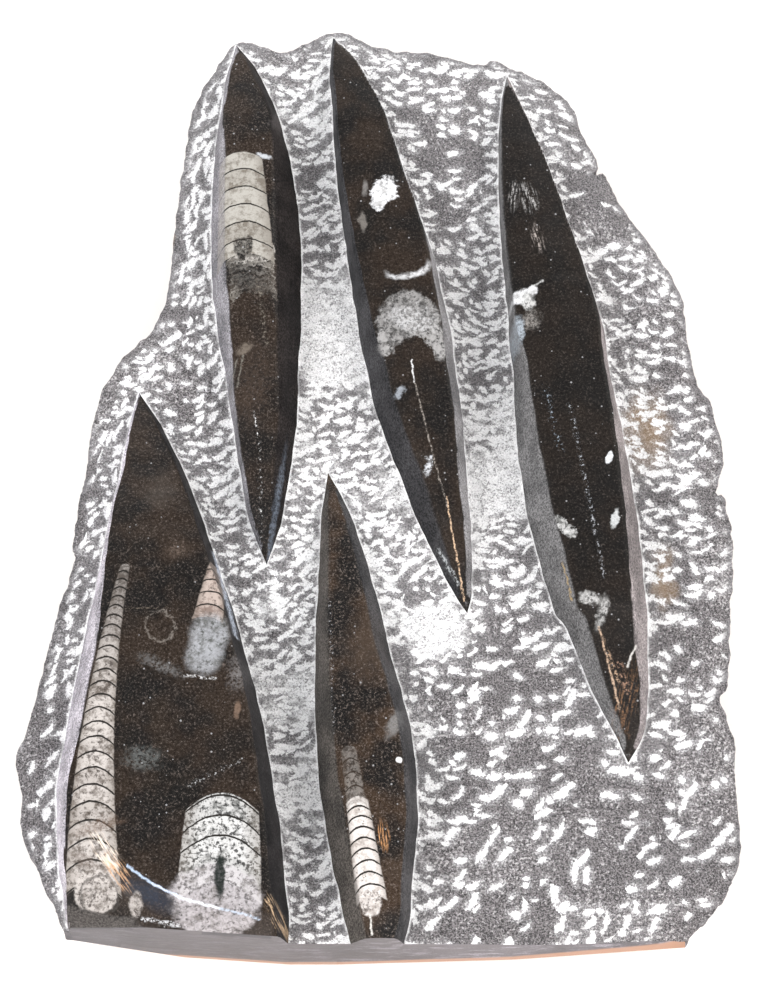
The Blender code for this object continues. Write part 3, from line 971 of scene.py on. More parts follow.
def makeCalciteColour():   # mottled calcite: milky clouds, dark blots and veins
    tree, given = newGroup(
        "calciteColour",
        {"Place": None, "Base": (0.6, 0.54, 0.45, 1.0), "Milky": (0.8, 0.78, 0.74, 1.0),
         "Dark": (0.12, 0.11, 0.1, 1.0), "Specks": 0.4, "Chamber": 0.5},
        ["Colour", "Height"])
    place = given["Place"]
    clouds = ramp(tree, noiseField(tree, place, 0.36, 5.0, 0.7), 0.34, 0.56)
    shade = calc(tree, "ADD", clouds, timesPlus(tree, given["Chamber"], 0.5, -0.25), clamp=True)
    colour = blend(tree, shade, given["Base"], given["Milky"])
    fine = noiseField(tree, place, 2.2, 3.0, 0.7)
    colour = blend(tree, ramp(tree, fine, 0.46, 0.64, 0.0, 0.2), colour, (0.2, 0.18, 0.16))
    blots = noiseField(tree, place, 0.8, 3.0, 0.7)
    level = slope(tree, given["Specks"], 0.0, 1.0, 0.66, 0.5)
    dark = ramp(tree, minus(tree, blots, level), 0.0, 0.06)
    colour = blend(tree, product(tree, dark, 0.8), colour, given["Dark"])
    bends = noiseField(tree, pushed(tree, place, wander(tree, place, 0.9), 0.6), 0.42, 1.0)
    vein = product(tree, ramp(tree, gapTo(tree, bends, 0.5), 0.09, 0.02), ramp(tree, blots, 0.46, 0.56),
                   ramp(tree, given["Specks"], 0.1, 0.6, 0.2, 0.75))
    return finishGroup(tree, {"Colour": blend(tree, vein, colour, given["Dark"]), "Height": fine})


def makeCalcitePatch():   # a ragged oval patch, and a thin ring round it
    tree, given = newGroup(
        "calcitePatch", {"Place": None, "Wander": None, "Centre": None, "Half Length": 4.0, "Half Width": 2.0,
                         "Turn": 0.0, "Ragged": 1.0, "Soft": 0.1},
        ["Mask", "Ring"])
    place = flattened(tree, pushed(tree, given["Place"], given["Wander"], given["Ragged"]))
    x, y, _ = parts(tree, turned(tree, vectorCalc(tree, "SUBTRACT", place, given["Centre"]), given["Turn"]))
    reach = radial(tree, divided(tree, x, given["Half Length"]), divided(tree, y, given["Half Width"]))
    mask = ramp(tree, reach, plus(tree, 1.0, given["Soft"]), minus(tree, 1.0, given["Soft"]))
    return finishGroup(tree, {"Mask": mask, "Ring": ramp(tree, gapTo(tree, reach, 1.0), 0.14, 0.03)})


# draws the cracks, and also the painted highlight lines along the crests and shoulders
def makeFineCrack():   # a thin broken line from one point to another
    tree, given = newGroup(
        "fineCrackOrHighlight", {"Place": None, "Wander": None, "From": None, "To": None, "Width": 0.4, "Broken": 0.4,
                      "Ragged": 0.5, "Breaks": 0.5, "Sparse": 0.0},
        ["Mask"])
    place = flattened(tree, pushed(tree, given["Place"], given["Wander"], given["Ragged"]))
    axis = vectorCalc(tree, "SUBTRACT", given["To"], given["From"])
    fromStart = vectorCalc(tree, "SUBTRACT", place, given["From"])
    length = vectorCalc(tree, "LENGTH", axis, output=1)
    way = vectorCalc(tree, "NORMALIZE", axis)
    run = larger(tree, vectorCalc(tree, "DOT_PRODUCT", fromStart, way, output=1), 0.0)
    gap = distance(tree, fromStart, scaled(tree, way, calc(tree, "MINIMUM", run, length)))
    breaks = ramp(tree, minus(tree, given["Breaks"], given["Sparse"]), 0.45, 0.53)
    breaks = timesPlus(tree, minus(tree, breaks, 1.0), given["Broken"], 1.0)
    return finishGroup(tree, {"Mask": product(tree, ramp(tree, gap, given["Width"], 0.05), breaks)})


limestone = {
    "black": (0.011, 0.0105, 0.01), "brown": (0.042, 0.028, 0.019), "grain": (0.2, 0.165, 0.145),
    "pores": (0.004, 0.003, 0.003), "flecks": (0.4, 0.4, 0.41),
    "flank": (0.42, 0.72),     # the ground sides begin and are full at these sideways parts of the normal
}


def makePolishedLimestone():   # warm clouds, fine grain, pale flecks and duller ground flanks
    tree, given = newGroup(
        "polishedLimestone", {"Place": None, "Brown": 0.4, "Left Flank": (0.1, 0.1, 0.11, 1.0),
                              "Right Flank": (0.05, 0.05, 0.055, 1.0), "Flecks": 0.3, "Grain": 0.6},
        ["Colour", "Roughness", "Height", "Flank", "Polish"])
    place = given["Place"]
    cloud = ramp(tree, noiseField(tree, place, 0.07, 3.0), 0.35, 0.65)
    warm = calc(tree, "MULTIPLY", cloud, given["Brown"], clamp=True)
    colour = blend(tree, warm, limestone["black"], limestone["brown"])
    speckle = noiseField(tree, place, 1.5, 5.0, 0.85)
    grain = product(tree, ramp(tree, speckle, 0.53, 0.67), given["Grain"])
    colour = blend(tree, grain, colour, limestone["grain"])
    colour = blend(tree, ramp(tree, speckle, 0.48, 0.36, 0.0, 0.8), colour, limestone["pores"])
    flecks = addNode(tree, "ShaderNodeTexVoronoi", {"Vector": place, "Scale": 0.55})
    rarity, sizes, _ = parts(tree, flecks.outputs["Color"])
    size = timesPlus(tree, sizes, 0.12, 0.05)
    small = ramp(tree, minus(tree, flecks.outputs["Distance"], size), 0.03, -0.03)
    chosen = ramp(tree, minus(tree, product(tree, given["Flecks"], 0.5), rarity), 0.0, 0.01)
    colour = blend(tree, product(tree, small, chosen, 0.6), colour, limestone["flecks"])
    lean = facing(tree)[0]
    start, full = limestone["flank"]
    leftFlank = ramp(tree, lean, -start, -full)
    rightFlank = ramp(tree, lean, start, full)
    drawn = noiseField(tree, stretched(tree, place, (3.0, 0.12, 3.0)), 0.5, 4.0, 0.7)
    tone = slope(tree, plus(tree, drawn, product(tree, cloud, 0.5)), 0.4, 1.0, 0.55, 1.3)
    tone = product(tree, tone, ramp(tree, speckle, 0.4, 0.6, 0.35, 1.6))
    tone = addNode(tree, "ShaderNodeCombineColor", {0: tone, 1: tone, 2: tone}).outputs[0]
    # each ground side takes its ridge's own colour, with painted light in it: paler on a side that is lit or
    # mirrors the pale floor, darker on a shaded side
    for share, name in ((leftFlank, "Left Flank"), (rightFlank, "Right Flank")):
        ground = blend(tree, 1.0, given[name], tone, "MULTIPLY")
        colour = blend(tree, product(tree, share, 0.85), colour, ground)
    flank = larger(tree, leftFlank, rightFlank)
    smear = slope(tree, noiseField(tree, place, 0.12, 3.0), 0.3, 0.7, 0.3, 0.42)
    return finishGroup(tree, {
        "Colour": colour, "Roughness": plus(tree, smear, product(tree, flank, 0.2)), "Height": speckle,
        "Flank": flank, "Polish": ramp(tree, calc(tree, "ABSOLUTE", lean), 0.12, 0.3, 1.0, 0.0)})


def startMaterial(name, **shaderValues):
    material = bpy.data.materials.new(name)
    material.use_nodes = True
    tree = material.node_tree
    shader = tree.nodes["Principled BSDF"]
    for key, value in shaderValues.items():
        shader.inputs[key].default_value = value
    place = scaled(tree, addNode(tree, "ShaderNodeTexCoord").outputs["Object"], 1.0 / mm)
    return material, tree, shader, place


# depth is the bump's, in millimetres
def finishMaterial(tree, shader, colour, roughness, height, depth, strength):
    bump = addNode(tree, "ShaderNodeBump", {"Strength": strength, "Distance": depth * mm, "Height": height})
    for value, name in ((colour, "Base Color"), (roughness, "Roughness"), (bump.outputs[0], "Normal")):
        tree.links.new(value, shader.inputs[name])


# the hammered face
faceLook = {
    "pepper": (0.014, 0.0125, 0.013), "grey": (0.215, 0.2, 0.205), "salt": (0.55, 0.53, 0.535),
    "bruise": (0.97, 0.97, 0.97), "crumbs": (0.74, 0.73, 0.74), "halo": (0.34, 0.335, 0.345),
    "ochre": (0.42, 0.27, 0.13),
    # x, y, half sizes
    "stains": [(86.0, -37.0, 3.0, 7.5), (-65.5, 77.0, 1.2, 2.2), (82.0, 12.0, 6.0, 10.0)],
}


def hammeredStone(groups):
    material, tree, shader, place = startMaterial("hammeredStone")
    grain = useGroup(tree, groups["stoneGrain"], {"Place": place, "Grain": 0.5, "Cloud": 22.0})
    rimGap = attribute(tree, "rimGap")
    edgeGap = attribute(tree, "edgeGap")
    struck = useGroup(tree, groups["hammerMarks"],
                      {"Place": place, "Edge Gap": edgeGap, "Lean": attribute(tree, "lean")})
    colour = blend(tree, grain["Speckle"], faceLook["pepper"], faceLook["grey"])
    salt = ramp(tree, timesPlus(tree, grain["Cloud"], 0.1, grain["Tooth"]), 0.59, 0.72)
    colour = blend(tree, salt, colour, faceLook["salt"])
    colour = blend(tree, product(tree, struck["Halo"], 0.36), colour, faceLook["halo"])
    palerUp = ramp(tree, parts(tree, place)[1], 10.0, 120.0, 0.0, 0.1)
    colour = blend(tree, palerUp, colour, faceLook["halo"])
    drift = wander(tree, place, 0.15, 3.0)
    for x, y, halfWide, halfTall in faceLook["stains"]:
        stain = useGroup(tree, groups["calcitePatch"],
                         {"Place": place, "Wander": drift, "Centre": (x, y, 0.0), "Half Length": halfWide,
                          "Half Width": halfTall, "Ragged": 3.0, "Soft": 0.8})
        colour = blend(tree, product(tree, stain["Mask"], 0.45), colour, faceLook["ochre"])
    inner = ramp(tree, timesPlus(tree, grain["Tooth"], 4.0, rimGap), 2.6, 5.0)
    # a bruised line by each ridge
    edgeLine = ramp(tree, timesPlus(tree, grain["Tooth"], 1.6, edgeGap), 1.7, 0.9)
    patchy = ramp(tree, noiseField(tree, place, 0.16, 3.0), 0.36, 0.54, 0.3, 1.0)
    bruise = larger(tree, product(tree, struck["Bruise"], inner), product(tree, edgeLine, patchy))
    whiteGrain = blend(tree, ramp(tree, grain["Speckle"], 0.0, 0.35), faceLook["crumbs"], faceLook["bruise"])
    colour = blend(tree, bruise, colour, whiteGrain)
    finishMaterial(tree, shader, colour, slope(tree, bruise, 0.0, 1.0, 0.62, 0.85), grain["Tooth"], 1.0, 0.8)
    return material


# the polished ridges: one finish each, with the shells that the cut went through
def calcite(base, milky, dark):
    return {"Base": (*base, 1.0), "Milky": (*milky, 1.0), "Dark": (*dark, 1.0)}


# gap is the first chamber and how much they grow; thick and lines are the chamber walls' thickness and colour
def shell(tip, mouth, wide, gap, bow, thick, fill, specks, strength, bend=0.0, ragged=0.25, flare=1.0,
          linesEnd=200.0, lineOffset=0.0, dim=0.0, dimTo=0.1, lines=None):
    return dict(locals())


# fill is a calcite, a colour or "stone"; veins wear a patch through and hatch scratches it
def patch(at, half, turn, ragged, soft, fill, strength, veins=0.3, hatch=0.0):
    return dict(locals())


def ring(at, half, turn, colour, strength, broken=0.0):
    return dict(locals())


# one thin line: a crack, or a painted highlight along a crest or shoulder
def crack(start, end, width, broken, colour, sparse=0.0):
    return dict(locals())


bright = calcite((0.4, 0.36, 0.33), (0.67, 0.63, 0.6), (0.06, 0.05, 0.045))
cream = calcite((0.13, 0.112, 0.098), (0.485, 0.452, 0.425), (0.05, 0.04, 0.035))
white = calcite((0.15, 0.153, 0.148), (0.57, 0.57, 0.56), (0.03, 0.03, 0.03))
tan = calcite((0.17, 0.152, 0.128), (0.385, 0.37, 0.335), (0.09, 0.075, 0.06))
dull = calcite((0.06, 0.054, 0.05), (0.34, 0.32, 0.3), (0.02, 0.02, 0.02))
milk = calcite((0.22, 0.205, 0.2), (0.5, 0.475, 0.49), (0.08, 0.075, 0.075))
rosy = calcite((0.24, 0.18, 0.155), (0.48, 0.4, 0.355), (0.09, 0.07, 0.06))
misty = calcite((0.15, 0.155, 0.155), (0.34, 0.35, 0.37), (0.08, 0.085, 0.08))
snow = calcite((0.45, 0.45, 0.45), (0.82, 0.83, 0.85), (0.2, 0.2, 0.2))
ash = calcite((0.075, 0.073, 0.072), (0.33, 0.325, 0.32), (0.02, 0.02, 0.02))
smoky = calcite((0.009, 0.0085, 0.008), (0.2, 0.188, 0.17), (0.008, 0.008, 0.008))

# left and right colour each ridge's ground sides, and hold painted light: a lit side is pale, a shaded side
# dark
ridgeLooks = {
    "narrowLeft": {
        "brown": 0.5, "grain": 0.7, "left": (0.2, 0.195, 0.21),
        "right": (0.016, 0.014, 0.014), "flecks": 0.5,
        "shells": [
            shell((-39.9, 70.5), (-38.4, 52.0), (15.0, 15.0), (2.2, 0.01), 0.4, 0.7, smoky, 0.8, 0.85,
                  ragged=2.2, linesEnd=16.0, lines=(0.42, 0.4, 0.37)),
            shell((-43.2, 100.5), (-41.2, 65.0), (13.6, 18.0), (6.2, -0.006), 0.42, 0.4, tan, 0.06, 1.0)],
        "patches": [
            patch((-40.0, 57.0), (9.0, 5.0), 0.3, 3.0, 0.5, "stone", 0.9),
            patch((-41.9, 67.4), (3.0, 3.7), 0.1, 1.2, 0.15, "stone", 0.95, veins=0.4),
            patch((-35.8, 98.9), (2.5, 0.8), 0.2, 0.9, 0.4, (0.5, 0.52, 0.55), 0.9),
            patch((-31.5, 115.0), (1.8, 4.0), 0.2, 2.0, 0.6, (0.2, 0.18, 0.18), 0.5),
            patch((-41.0, 34.0), (2.2, 1.2), -0.6, 1.4, 0.5, (0.2, 0.17, 0.14), 0.7),
            patch((-38.0, 23.0), (5.0, 12.0), 0.1, 4.0, 0.8, (0.07, 0.05, 0.038), 0.5, veins=0.7),
            # painted reflection: a bluish band down the right wall of the tail
            patch((-30.9, -14.0), (0.75, 15.5), 0.14, 0.6, 0.6, (0.19, 0.225, 0.28), 1.2, veins=0.8)],
        "cracksAndHighlights": [
            # painted highlight: pale dotted lines down the crest
            crack((-37.8, 14.0), (-36.6, 6.0), 0.4, 1.0, (0.8, 0.8, 0.8), sparse=0.05),
            crack((-36.2, 6.0), (-35.4, -26.0), 0.9, 1.0, (0.7, 0.7, 0.7), sparse=0.12),
            crack((-43.0, 31.0), (-46.0, 20.0), 0.4, 0.7, (0.16, 0.15, 0.13)),
            crack((-41.5, 32.0), (-43.2, 22.0), 0.4, 0.7, (0.16, 0.15, 0.13)),
            crack((-37.0, 56.0), (-34.5, 36.0), 1.2, 1.0, (0.2, 0.18, 0.15), sparse=0.08)]},
    "longMiddle": {
        "brown": 0.45, "grain": 0.34, "left": (0.04, 0.04, 0.043),
        "right": (0.21, 0.205, 0.21), "flecks": 0.5,
        "patches": [
            patch((9.0, 60.2), (7.0, 3.6), -0.28, 0.8, 0.15, snow, 0.75),
            patch((8.2, 62.2), (7.6, 4.0), -0.28, 0.8, 0.15, "stone", 1.0, veins=0.0),
            patch((9.3, 41.4), (9.9, 10.8), 0.0, 1.6, 0.08, ash, 0.85),
            patch((1.9, 36.0), (2.4, 5.0), 0.0, 1.2, 0.1, ash, 0.95),
            patch((18.3, 35.5), (2.2, 5.4), -0.15, 1.2, 0.2, ash, 1.2),
            patch((10.6, 43.0), (6.8, 4.0), 0.2, 3.0, 0.5, snow, 0.35, veins=1.0),
            patch((10.8, 30.2), (6.3, 7.2), 0.0, 2.2, 0.06, "stone", 1.0, veins=0.0),
            patch((1.9, 86.2), (4.2, 5.8), 0.35, 2.0, 0.12, snow, 0.95, veins=0.0),
            patch((4.8, 79.8), (3.8, 4.2), 0.3, 0.9, 0.08, "stone", 1.0, veins=0.0),
            patch((-4.2, 88.0), (0.8, 2.6), 0.1, 0.8, 0.4, (0.25, 0.24, 0.23), 0.6),
            patch((-4.8, 76.0), (1.0, 3.2), -0.1, 1.2, 0.4, (0.25, 0.23, 0.21), 0.55),
            patch((6.5, 19.5), (1.2, 2.2), 0.6, 1.2, 0.3, (0.35, 0.38, 0.42), 0.7),
            patch((15.2, -3.5), (1.3, 2.6), 0.3, 1.8, 0.4, (0.6, 0.62, 0.65), 0.9, veins=0.9)],
        "cracksAndHighlights": [
            # painted highlight: the dotted line down the crest, white, then grey, then orange
            crack((10.0, 29.5), (10.9, 22.5), 0.45, 0.9, (0.8, 0.8, 0.8)),
            crack((10.9, 22.5), (20.6, -16.0), 0.4, 0.9, (0.3, 0.27, 0.24), sparse=0.03),
            crack((20.4, -13.0), (25.8, -44.0), 0.4, 0.9, (0.7, 0.5, 0.34)),
            crack((18.0, -28.0), (24.0, -39.0), 0.7, 1.0, (0.45, 0.47, 0.48))]},
    "longRight": {
        "brown": 0.2, "grain": 0.28, "left": (0.135, 0.133, 0.134),
        "right": (0.24, 0.215, 0.215), "flecks": 0.6,
        "patches": [
            patch((44.6, 51.3), (2.1, 4.7), 1.05, 0.9, 0.15, snow, 0.85, veins=0.1),
            patch((46.0, 49.4), (2.1, 3.2), 0.0, 0.9, 0.25, white, 0.9, veins=0.1),
            patch((46.7, 42.8), (2.5, 3.0), 0.6, 1.4, 0.5, dull, 0.75, veins=0.9),
            patch((42.4, 38.9), (2.0, 4.8), 0.1, 1.2, 0.4, (0.3, 0.335, 0.37), 1.3, veins=0.7),
            patch((42.3, 86.5), (1.4, 4.4), 0.1, 1.0, 0.6, (0.42, 0.41, 0.4), 0.9, veins=1.0, hatch=1.0),
            patch((46.8, 85.5), (2.4, 4.6), -0.2, 1.0, 0.6, (0.42, 0.41, 0.4), 0.9, veins=1.0, hatch=1.0),
            patch((49.2, 71.0), (1.7, 4.4), -0.25, 1.0, 0.6, (0.42, 0.37, 0.34), 0.8, veins=1.0,
                  hatch=1.0),
            patch((56.2, -24.5), (1.5, 4.4), -0.65, 1.6, 0.15, white, 0.95),
            patch((63.0, -46.4), (3.4, 1.7), 0.25, 1.6, 0.4, white, 0.85, veins=0.5),
            patch((66.6, -50.6), (1.2, 4.6), 0.25, 1.2, 0.5, white, 0.8, veins=0.5),
            patch((69.5, -2.5), (0.9, 2.2), 0.4, 0.6, 0.2, (0.7, 0.72, 0.74), 0.9),
            patch((70.8, -22.0), (0.9, 3.2), 0.3, 0.9, 0.3, (0.6, 0.62, 0.62), 0.8),
            patch((73.0, -78.0), (2.6, 10.0), 0.2, 2.5, 0.7, (0.2, 0.11, 0.06), 0.9, veins=1.0,
                  hatch=0.9)],
        "cracksAndHighlights": [
            crack((47.4, 54.2), (50.5, 56.0), 0.5, 0.6, (0.45, 0.45, 0.44)),
            # painted highlight: sparse bluish-grey dotted lines down the crest
            crack((58.0, 14.4), (64.2, -22.0), 1.1, 1.0, (0.42, 0.44, 0.47), sparse=0.09),
            crack((64.2, -22.0), (67.2, -40.0), 0.9, 1.0, (0.36, 0.37, 0.39), sparse=0.08),
            crack((50.5, 21.0), (55.0, 0.0), 1.6, 1.0, (0.3, 0.35, 0.4), sparse=0.12),
            crack((76.4, -60.2), (73.9, -66.7), 0.5, 0.3, (0.6, 0.58, 0.55)),
            crack((65.6, -55.1), (71.4, -78.9), 0.5, 0.8, (0.5, 0.36, 0.26)),
            crack((66.4, -58.0), (71.2, -71.0), 0.9, 1.0, (0.42, 0.29, 0.2), sparse=0.04),
            crack((71.5, -66.0), (73.8, -74.0), 1.5, 1.0, (0.4, 0.25, 0.18), sparse=0.06),
            crack((55.0, -34.9), (57.8, -46.9), 0.35, 0.8, (0.35, 0.25, 0.12))]},
    "broadFoot": {
        "brown": 0.5, "grain": 0.6, "left": (0.38, 0.36, 0.395),
        "right": (0.018, 0.017, 0.018), "flecks": 0.4,
        "shells": [
            shell((-75.2, -36.5), (-82.4, -133.5), (3.2, 16.4), (2.4, 0.04), 0.5, 0.5, cream, 0.42, 1.0,
                  bend=-3.0, flare=1.1, dim=0.9, dimTo=0.5),
            shell((-47.8, -34.5), (-50.4, -54.0), (4.6, 9.6), (3.4, 0.05), 0.35, 0.4, rosy, 0.35, 0.85),
            shell((-45.2, -107.0), (-45.8, -134.0), (18.4, 24.4), (5.7, 0.025), 0.52, 0.52, white, 0.82,
                  1.0, flare=0.45, linesEnd=18.8, lineOffset=4.9)],
        "patches": [
            patch((-49.8, -58.6), (5.5, 6.2), 0.15, 1.0, 0.3, misty, 0.9),
            patch((-51.5, -65.4), (5.4, 5.2), 0.15, 1.0, 0.3, misty, 0.9),
            patch((-46.9, -138.6), (13.2, 10.2), 0.0, 1.6, 0.1, milk, 0.85),
            patch((-31.6, -147.5), (2.4, 6.0), 0.15, 0.8, 0.15, "stone", 0.95, veins=0.0),
            patch((-45.7, -132.0), (1.5, 6.4), 0.0, 0.8, 0.25, (0.016, 0.02, 0.018), 1.0, veins=0.1),
            patch((-81.6, -135.4), (6.4, 6.6), 0.0, 0.5, 0.06, cream, 1.0),
            patch((-81.0, -117.0), (6.5, 2.0), -0.25, 1.5, 0.5, (0.13, 0.085, 0.06), 0.6, veins=0.7),
            patch((-84.5, -127.0), (4.0, 1.4), 0.5, 1.2, 0.5, (0.1, 0.075, 0.06), 0.6, veins=0.6),
            patch((-79.0, -124.5), (2.6, 6.4), -0.62, 0.8, 0.3, (0.85, 0.72, 0.6), 1.0, hatch=1.0),
            patch((-75.3, -130.5), (2.4, 6.0), -0.62, 0.8, 0.4, (0.62, 0.38, 0.22), 0.9, veins=0.5,
                  hatch=1.1),
            patch((-29.2, -142.6), (1.9, 5.2), -0.55, 0.7, 0.4, (0.7, 0.5, 0.32), 1.0, veins=0.4,
                  hatch=1.1),
            patch((-66.0, -137.0), (7.0, 2.6), 0.5, 0.8, 0.8, (0.024, 0.032, 0.05), 0.8),
            patch((-73.0, -147.4), (10.0, 2.3), 0.0, 0.8, 0.2, (0.12, 0.112, 0.115), 0.95, veins=0.1),
            patch((-70.0, -139.5), (1.9, 3.4), 0.1, 0.6, 0.2, cream, 0.85),
            patch((-40.5, -69.5), (3.0, 5.5), 0.3, 2.0, 0.7, (0.2, 0.19, 0.19), 0.6, veins=1.0),
            patch((-41.5, -82.0), (0.9, 2.8), 0.1, 0.8, 0.4, (0.22, 0.15, 0.11), 0.6),
            patch((-64.0, -68.5), (6.0, 1.6), 0.4, 2.0, 0.7, (0.2, 0.2, 0.2), 0.5, veins=1.0),
            patch((-69.0, -97.0), (4.5, 3.0), 0.0, 2.5, 0.7, (0.2, 0.215, 0.21), 0.4, veins=1.0),
            patch((-66.0, -12.0), (3.5, 5.5), 0.3, 3.0, 0.8, (0.12, 0.1, 0.085), 0.25, veins=0.5),
            patch((-60.0, -32.0), (3.0, 2.2), 0.0, 2.0, 0.8, (0.2, 0.15, 0.12), 0.3, veins=1.0)],
        "rings": [
            ring((-80.7, -136.6), (5.6, 5.4), 0.0, (0.05, 0.045, 0.04), 0.6),
            ring((-64.6, -56.5), (4.6, 4.2), 0.9, (0.3, 0.27, 0.24), 0.4, broken=1.0)],
        "cracksAndHighlights": [
            crack((-79.0, -51.0), (-63.0, -50.6), 0.3, 1.0, (0.12, 0.1, 0.08), sparse=0.04),
            crack((-49.6, -29.0), (-42.4, -57.0), 1.1, 0.85, (0.48, 0.53, 0.62)),
            crack((-57.0, -71.5), (-48.0, -72.5), 0.7, 1.0, (0.6, 0.6, 0.6), sparse=0.03),
            crack((-55.0, -105.0), (-41.0, -97.5), 1.2, 1.0, (0.5, 0.5, 0.5), sparse=0.1),
            # painted highlight: bluish-white broken lines along the crest of the worn end
            crack((-72.5, -129.0), (-65.0, -134.3), 0.55, 0.3, (0.5, 0.62, 0.8)),
            crack((-65.0, -134.3), (-56.0, -138.6), 0.55, 0.35, (0.66, 0.76, 0.95)),
            crack((-56.0, -138.6), (-45.5, -141.4), 0.6, 0.4, (0.85, 0.9, 0.97)),
            crack((-45.5, -141.4), (-34.5, -144.0), 0.5, 0.8, (0.45, 0.53, 0.64)),
            crack((-68.0, -143.2), (-57.0, -145.2), 0.8, 1.0, (0.6, 0.61, 0.63), sparse=0.02)],
        "facet": {"colour": (0.1, 0.092, 0.086), "dark": (0.018, 0.016, 0.015), "x": (-64.0, -70.0),
                  "lean": (-0.55, -0.7)}},
    "middleFoot": {
        "brown": 1.3, "grain": 1.0, "left": (0.064, 0.059, 0.054),
        "right": (0.05, 0.05, 0.053), "flecks": 0.45,
        "shells": [
            shell((-6.5, -107.2), (-2.2, -136.5), (6.6, 9.2), (3.0, 0.02), 0.5, 0.5, bright, 0.2, 1.0),
            shell((-8.9, -92.0), (-6.4, -109.5), (4.6, 6.2), (4.0, 0.02), 0.6, 0.4, dull, 0.8, 0.4)],
        "patches": [
            patch((-2.2, -138.2), (3.1, 3.9), 0.0, 0.5, 0.12, bright, 1.0),
            patch((1.4, -119.0), (1.5, 4.0), -0.1, 0.6, 0.5, (0.7, 0.36, 0.16), 0.9, veins=0.5,
                  hatch=1.2),
            patch((4.9, -85.0), (1.8, 4.4), 0.4, 1.6, 0.5, (0.25, 0.25, 0.25), 0.6),
            patch((6.0, -96.4), (0.9, 0.9), 0.0, 0.4, 0.2, (0.8, 0.8, 0.8), 0.95),
            patch((-2.8, -60.0), (6.0, 10.0), 0.2, 4.0, 0.8, (0.06, 0.045, 0.035), 0.5)],
        "cracksAndHighlights": [
            # painted highlight: a sparse pale line along the left shoulder
            crack((-14.6, -46.0), (-13.0, -88.1), 0.7, 1.0, (0.5, 0.5, 0.52), sparse=0.12),
            crack((-2.4, -142.0), (-1.9, -147.5), 0.5, 0.5, (0.7, 0.68, 0.64))]},
}


def useOval(tree, groups, where, oval, **more):   # the patch group at a patch or a ring
    return useGroup(tree, groups["calcitePatch"],
                    {**where, "Centre": (*oval["at"], 0.0), "Half Length": oval["half"][0],
                     "Half Width": oval["half"][1], "Turn": oval["turn"], **more})


def shellColour(tree, groups, where, breaks, cut, row):
    colour = useGroup(tree, groups["calciteColour"],
                      {"Place": where["Place"], "Specks": row["specks"], "Chamber": cut["Chamber"],
                       **row["fill"]})["Colour"]
    # painted shade: each shell darkens toward both of its sides, as if it were round
    shade = ramp(tree, calc(tree, "ABSOLUTE", cut["Across"]), 0.45, 1.0, 0.0, 0.5)
    colour = blend(tree, shade, colour, (0.14, 0.12, 0.1))
    colour = blend(tree, product(tree, cut["Wall"], 0.4), colour, (0.06, 0.05, 0.045))
    dimmed = ramp(tree, cut["Along"], 0.0, row["dimTo"], row["dim"], 0.0)   # darker toward its tip
    dimmed = product(tree, dimmed, ramp(tree, breaks, 0.35, 0.6, 0.6, 1.0))
    colour = blend(tree, dimmed, colour, (0.06, 0.052, 0.046))
    if row["lines"] is None:
        return blend(tree, cut["Septum"], colour, (0.02, 0.018, 0.016))
    worn = product(tree, cut["Septum"], ramp(tree, breaks, 0.4, 0.56, 0.15, 1.0))
    return blend(tree, worn, colour, row["lines"])


def patchColour(tree, groups, place, base, fill):
    if fill == "stone":
        return base["Colour"]
    if isinstance(fill, dict):
        return useGroup(tree, groups["calciteColour"], {"Place": place, "Specks": 0.45, **fill})["Colour"]
    return fill


def patchWear(tree, place, breaks, row):   # where the patch is left after its veins and scratches
    wear = ramp(tree, breaks, 0.4, 0.58, 1.0 - row["veins"], 1.0)
    if row["hatch"]:
        along = stretched(tree, turned(tree, place, row["turn"]), (1.7, 0.16, 0.0))
        wear = product(tree, wear, ramp(tree, noiseField(tree, along, row["hatch"], 2.0), 0.47, 0.6))
    return wear


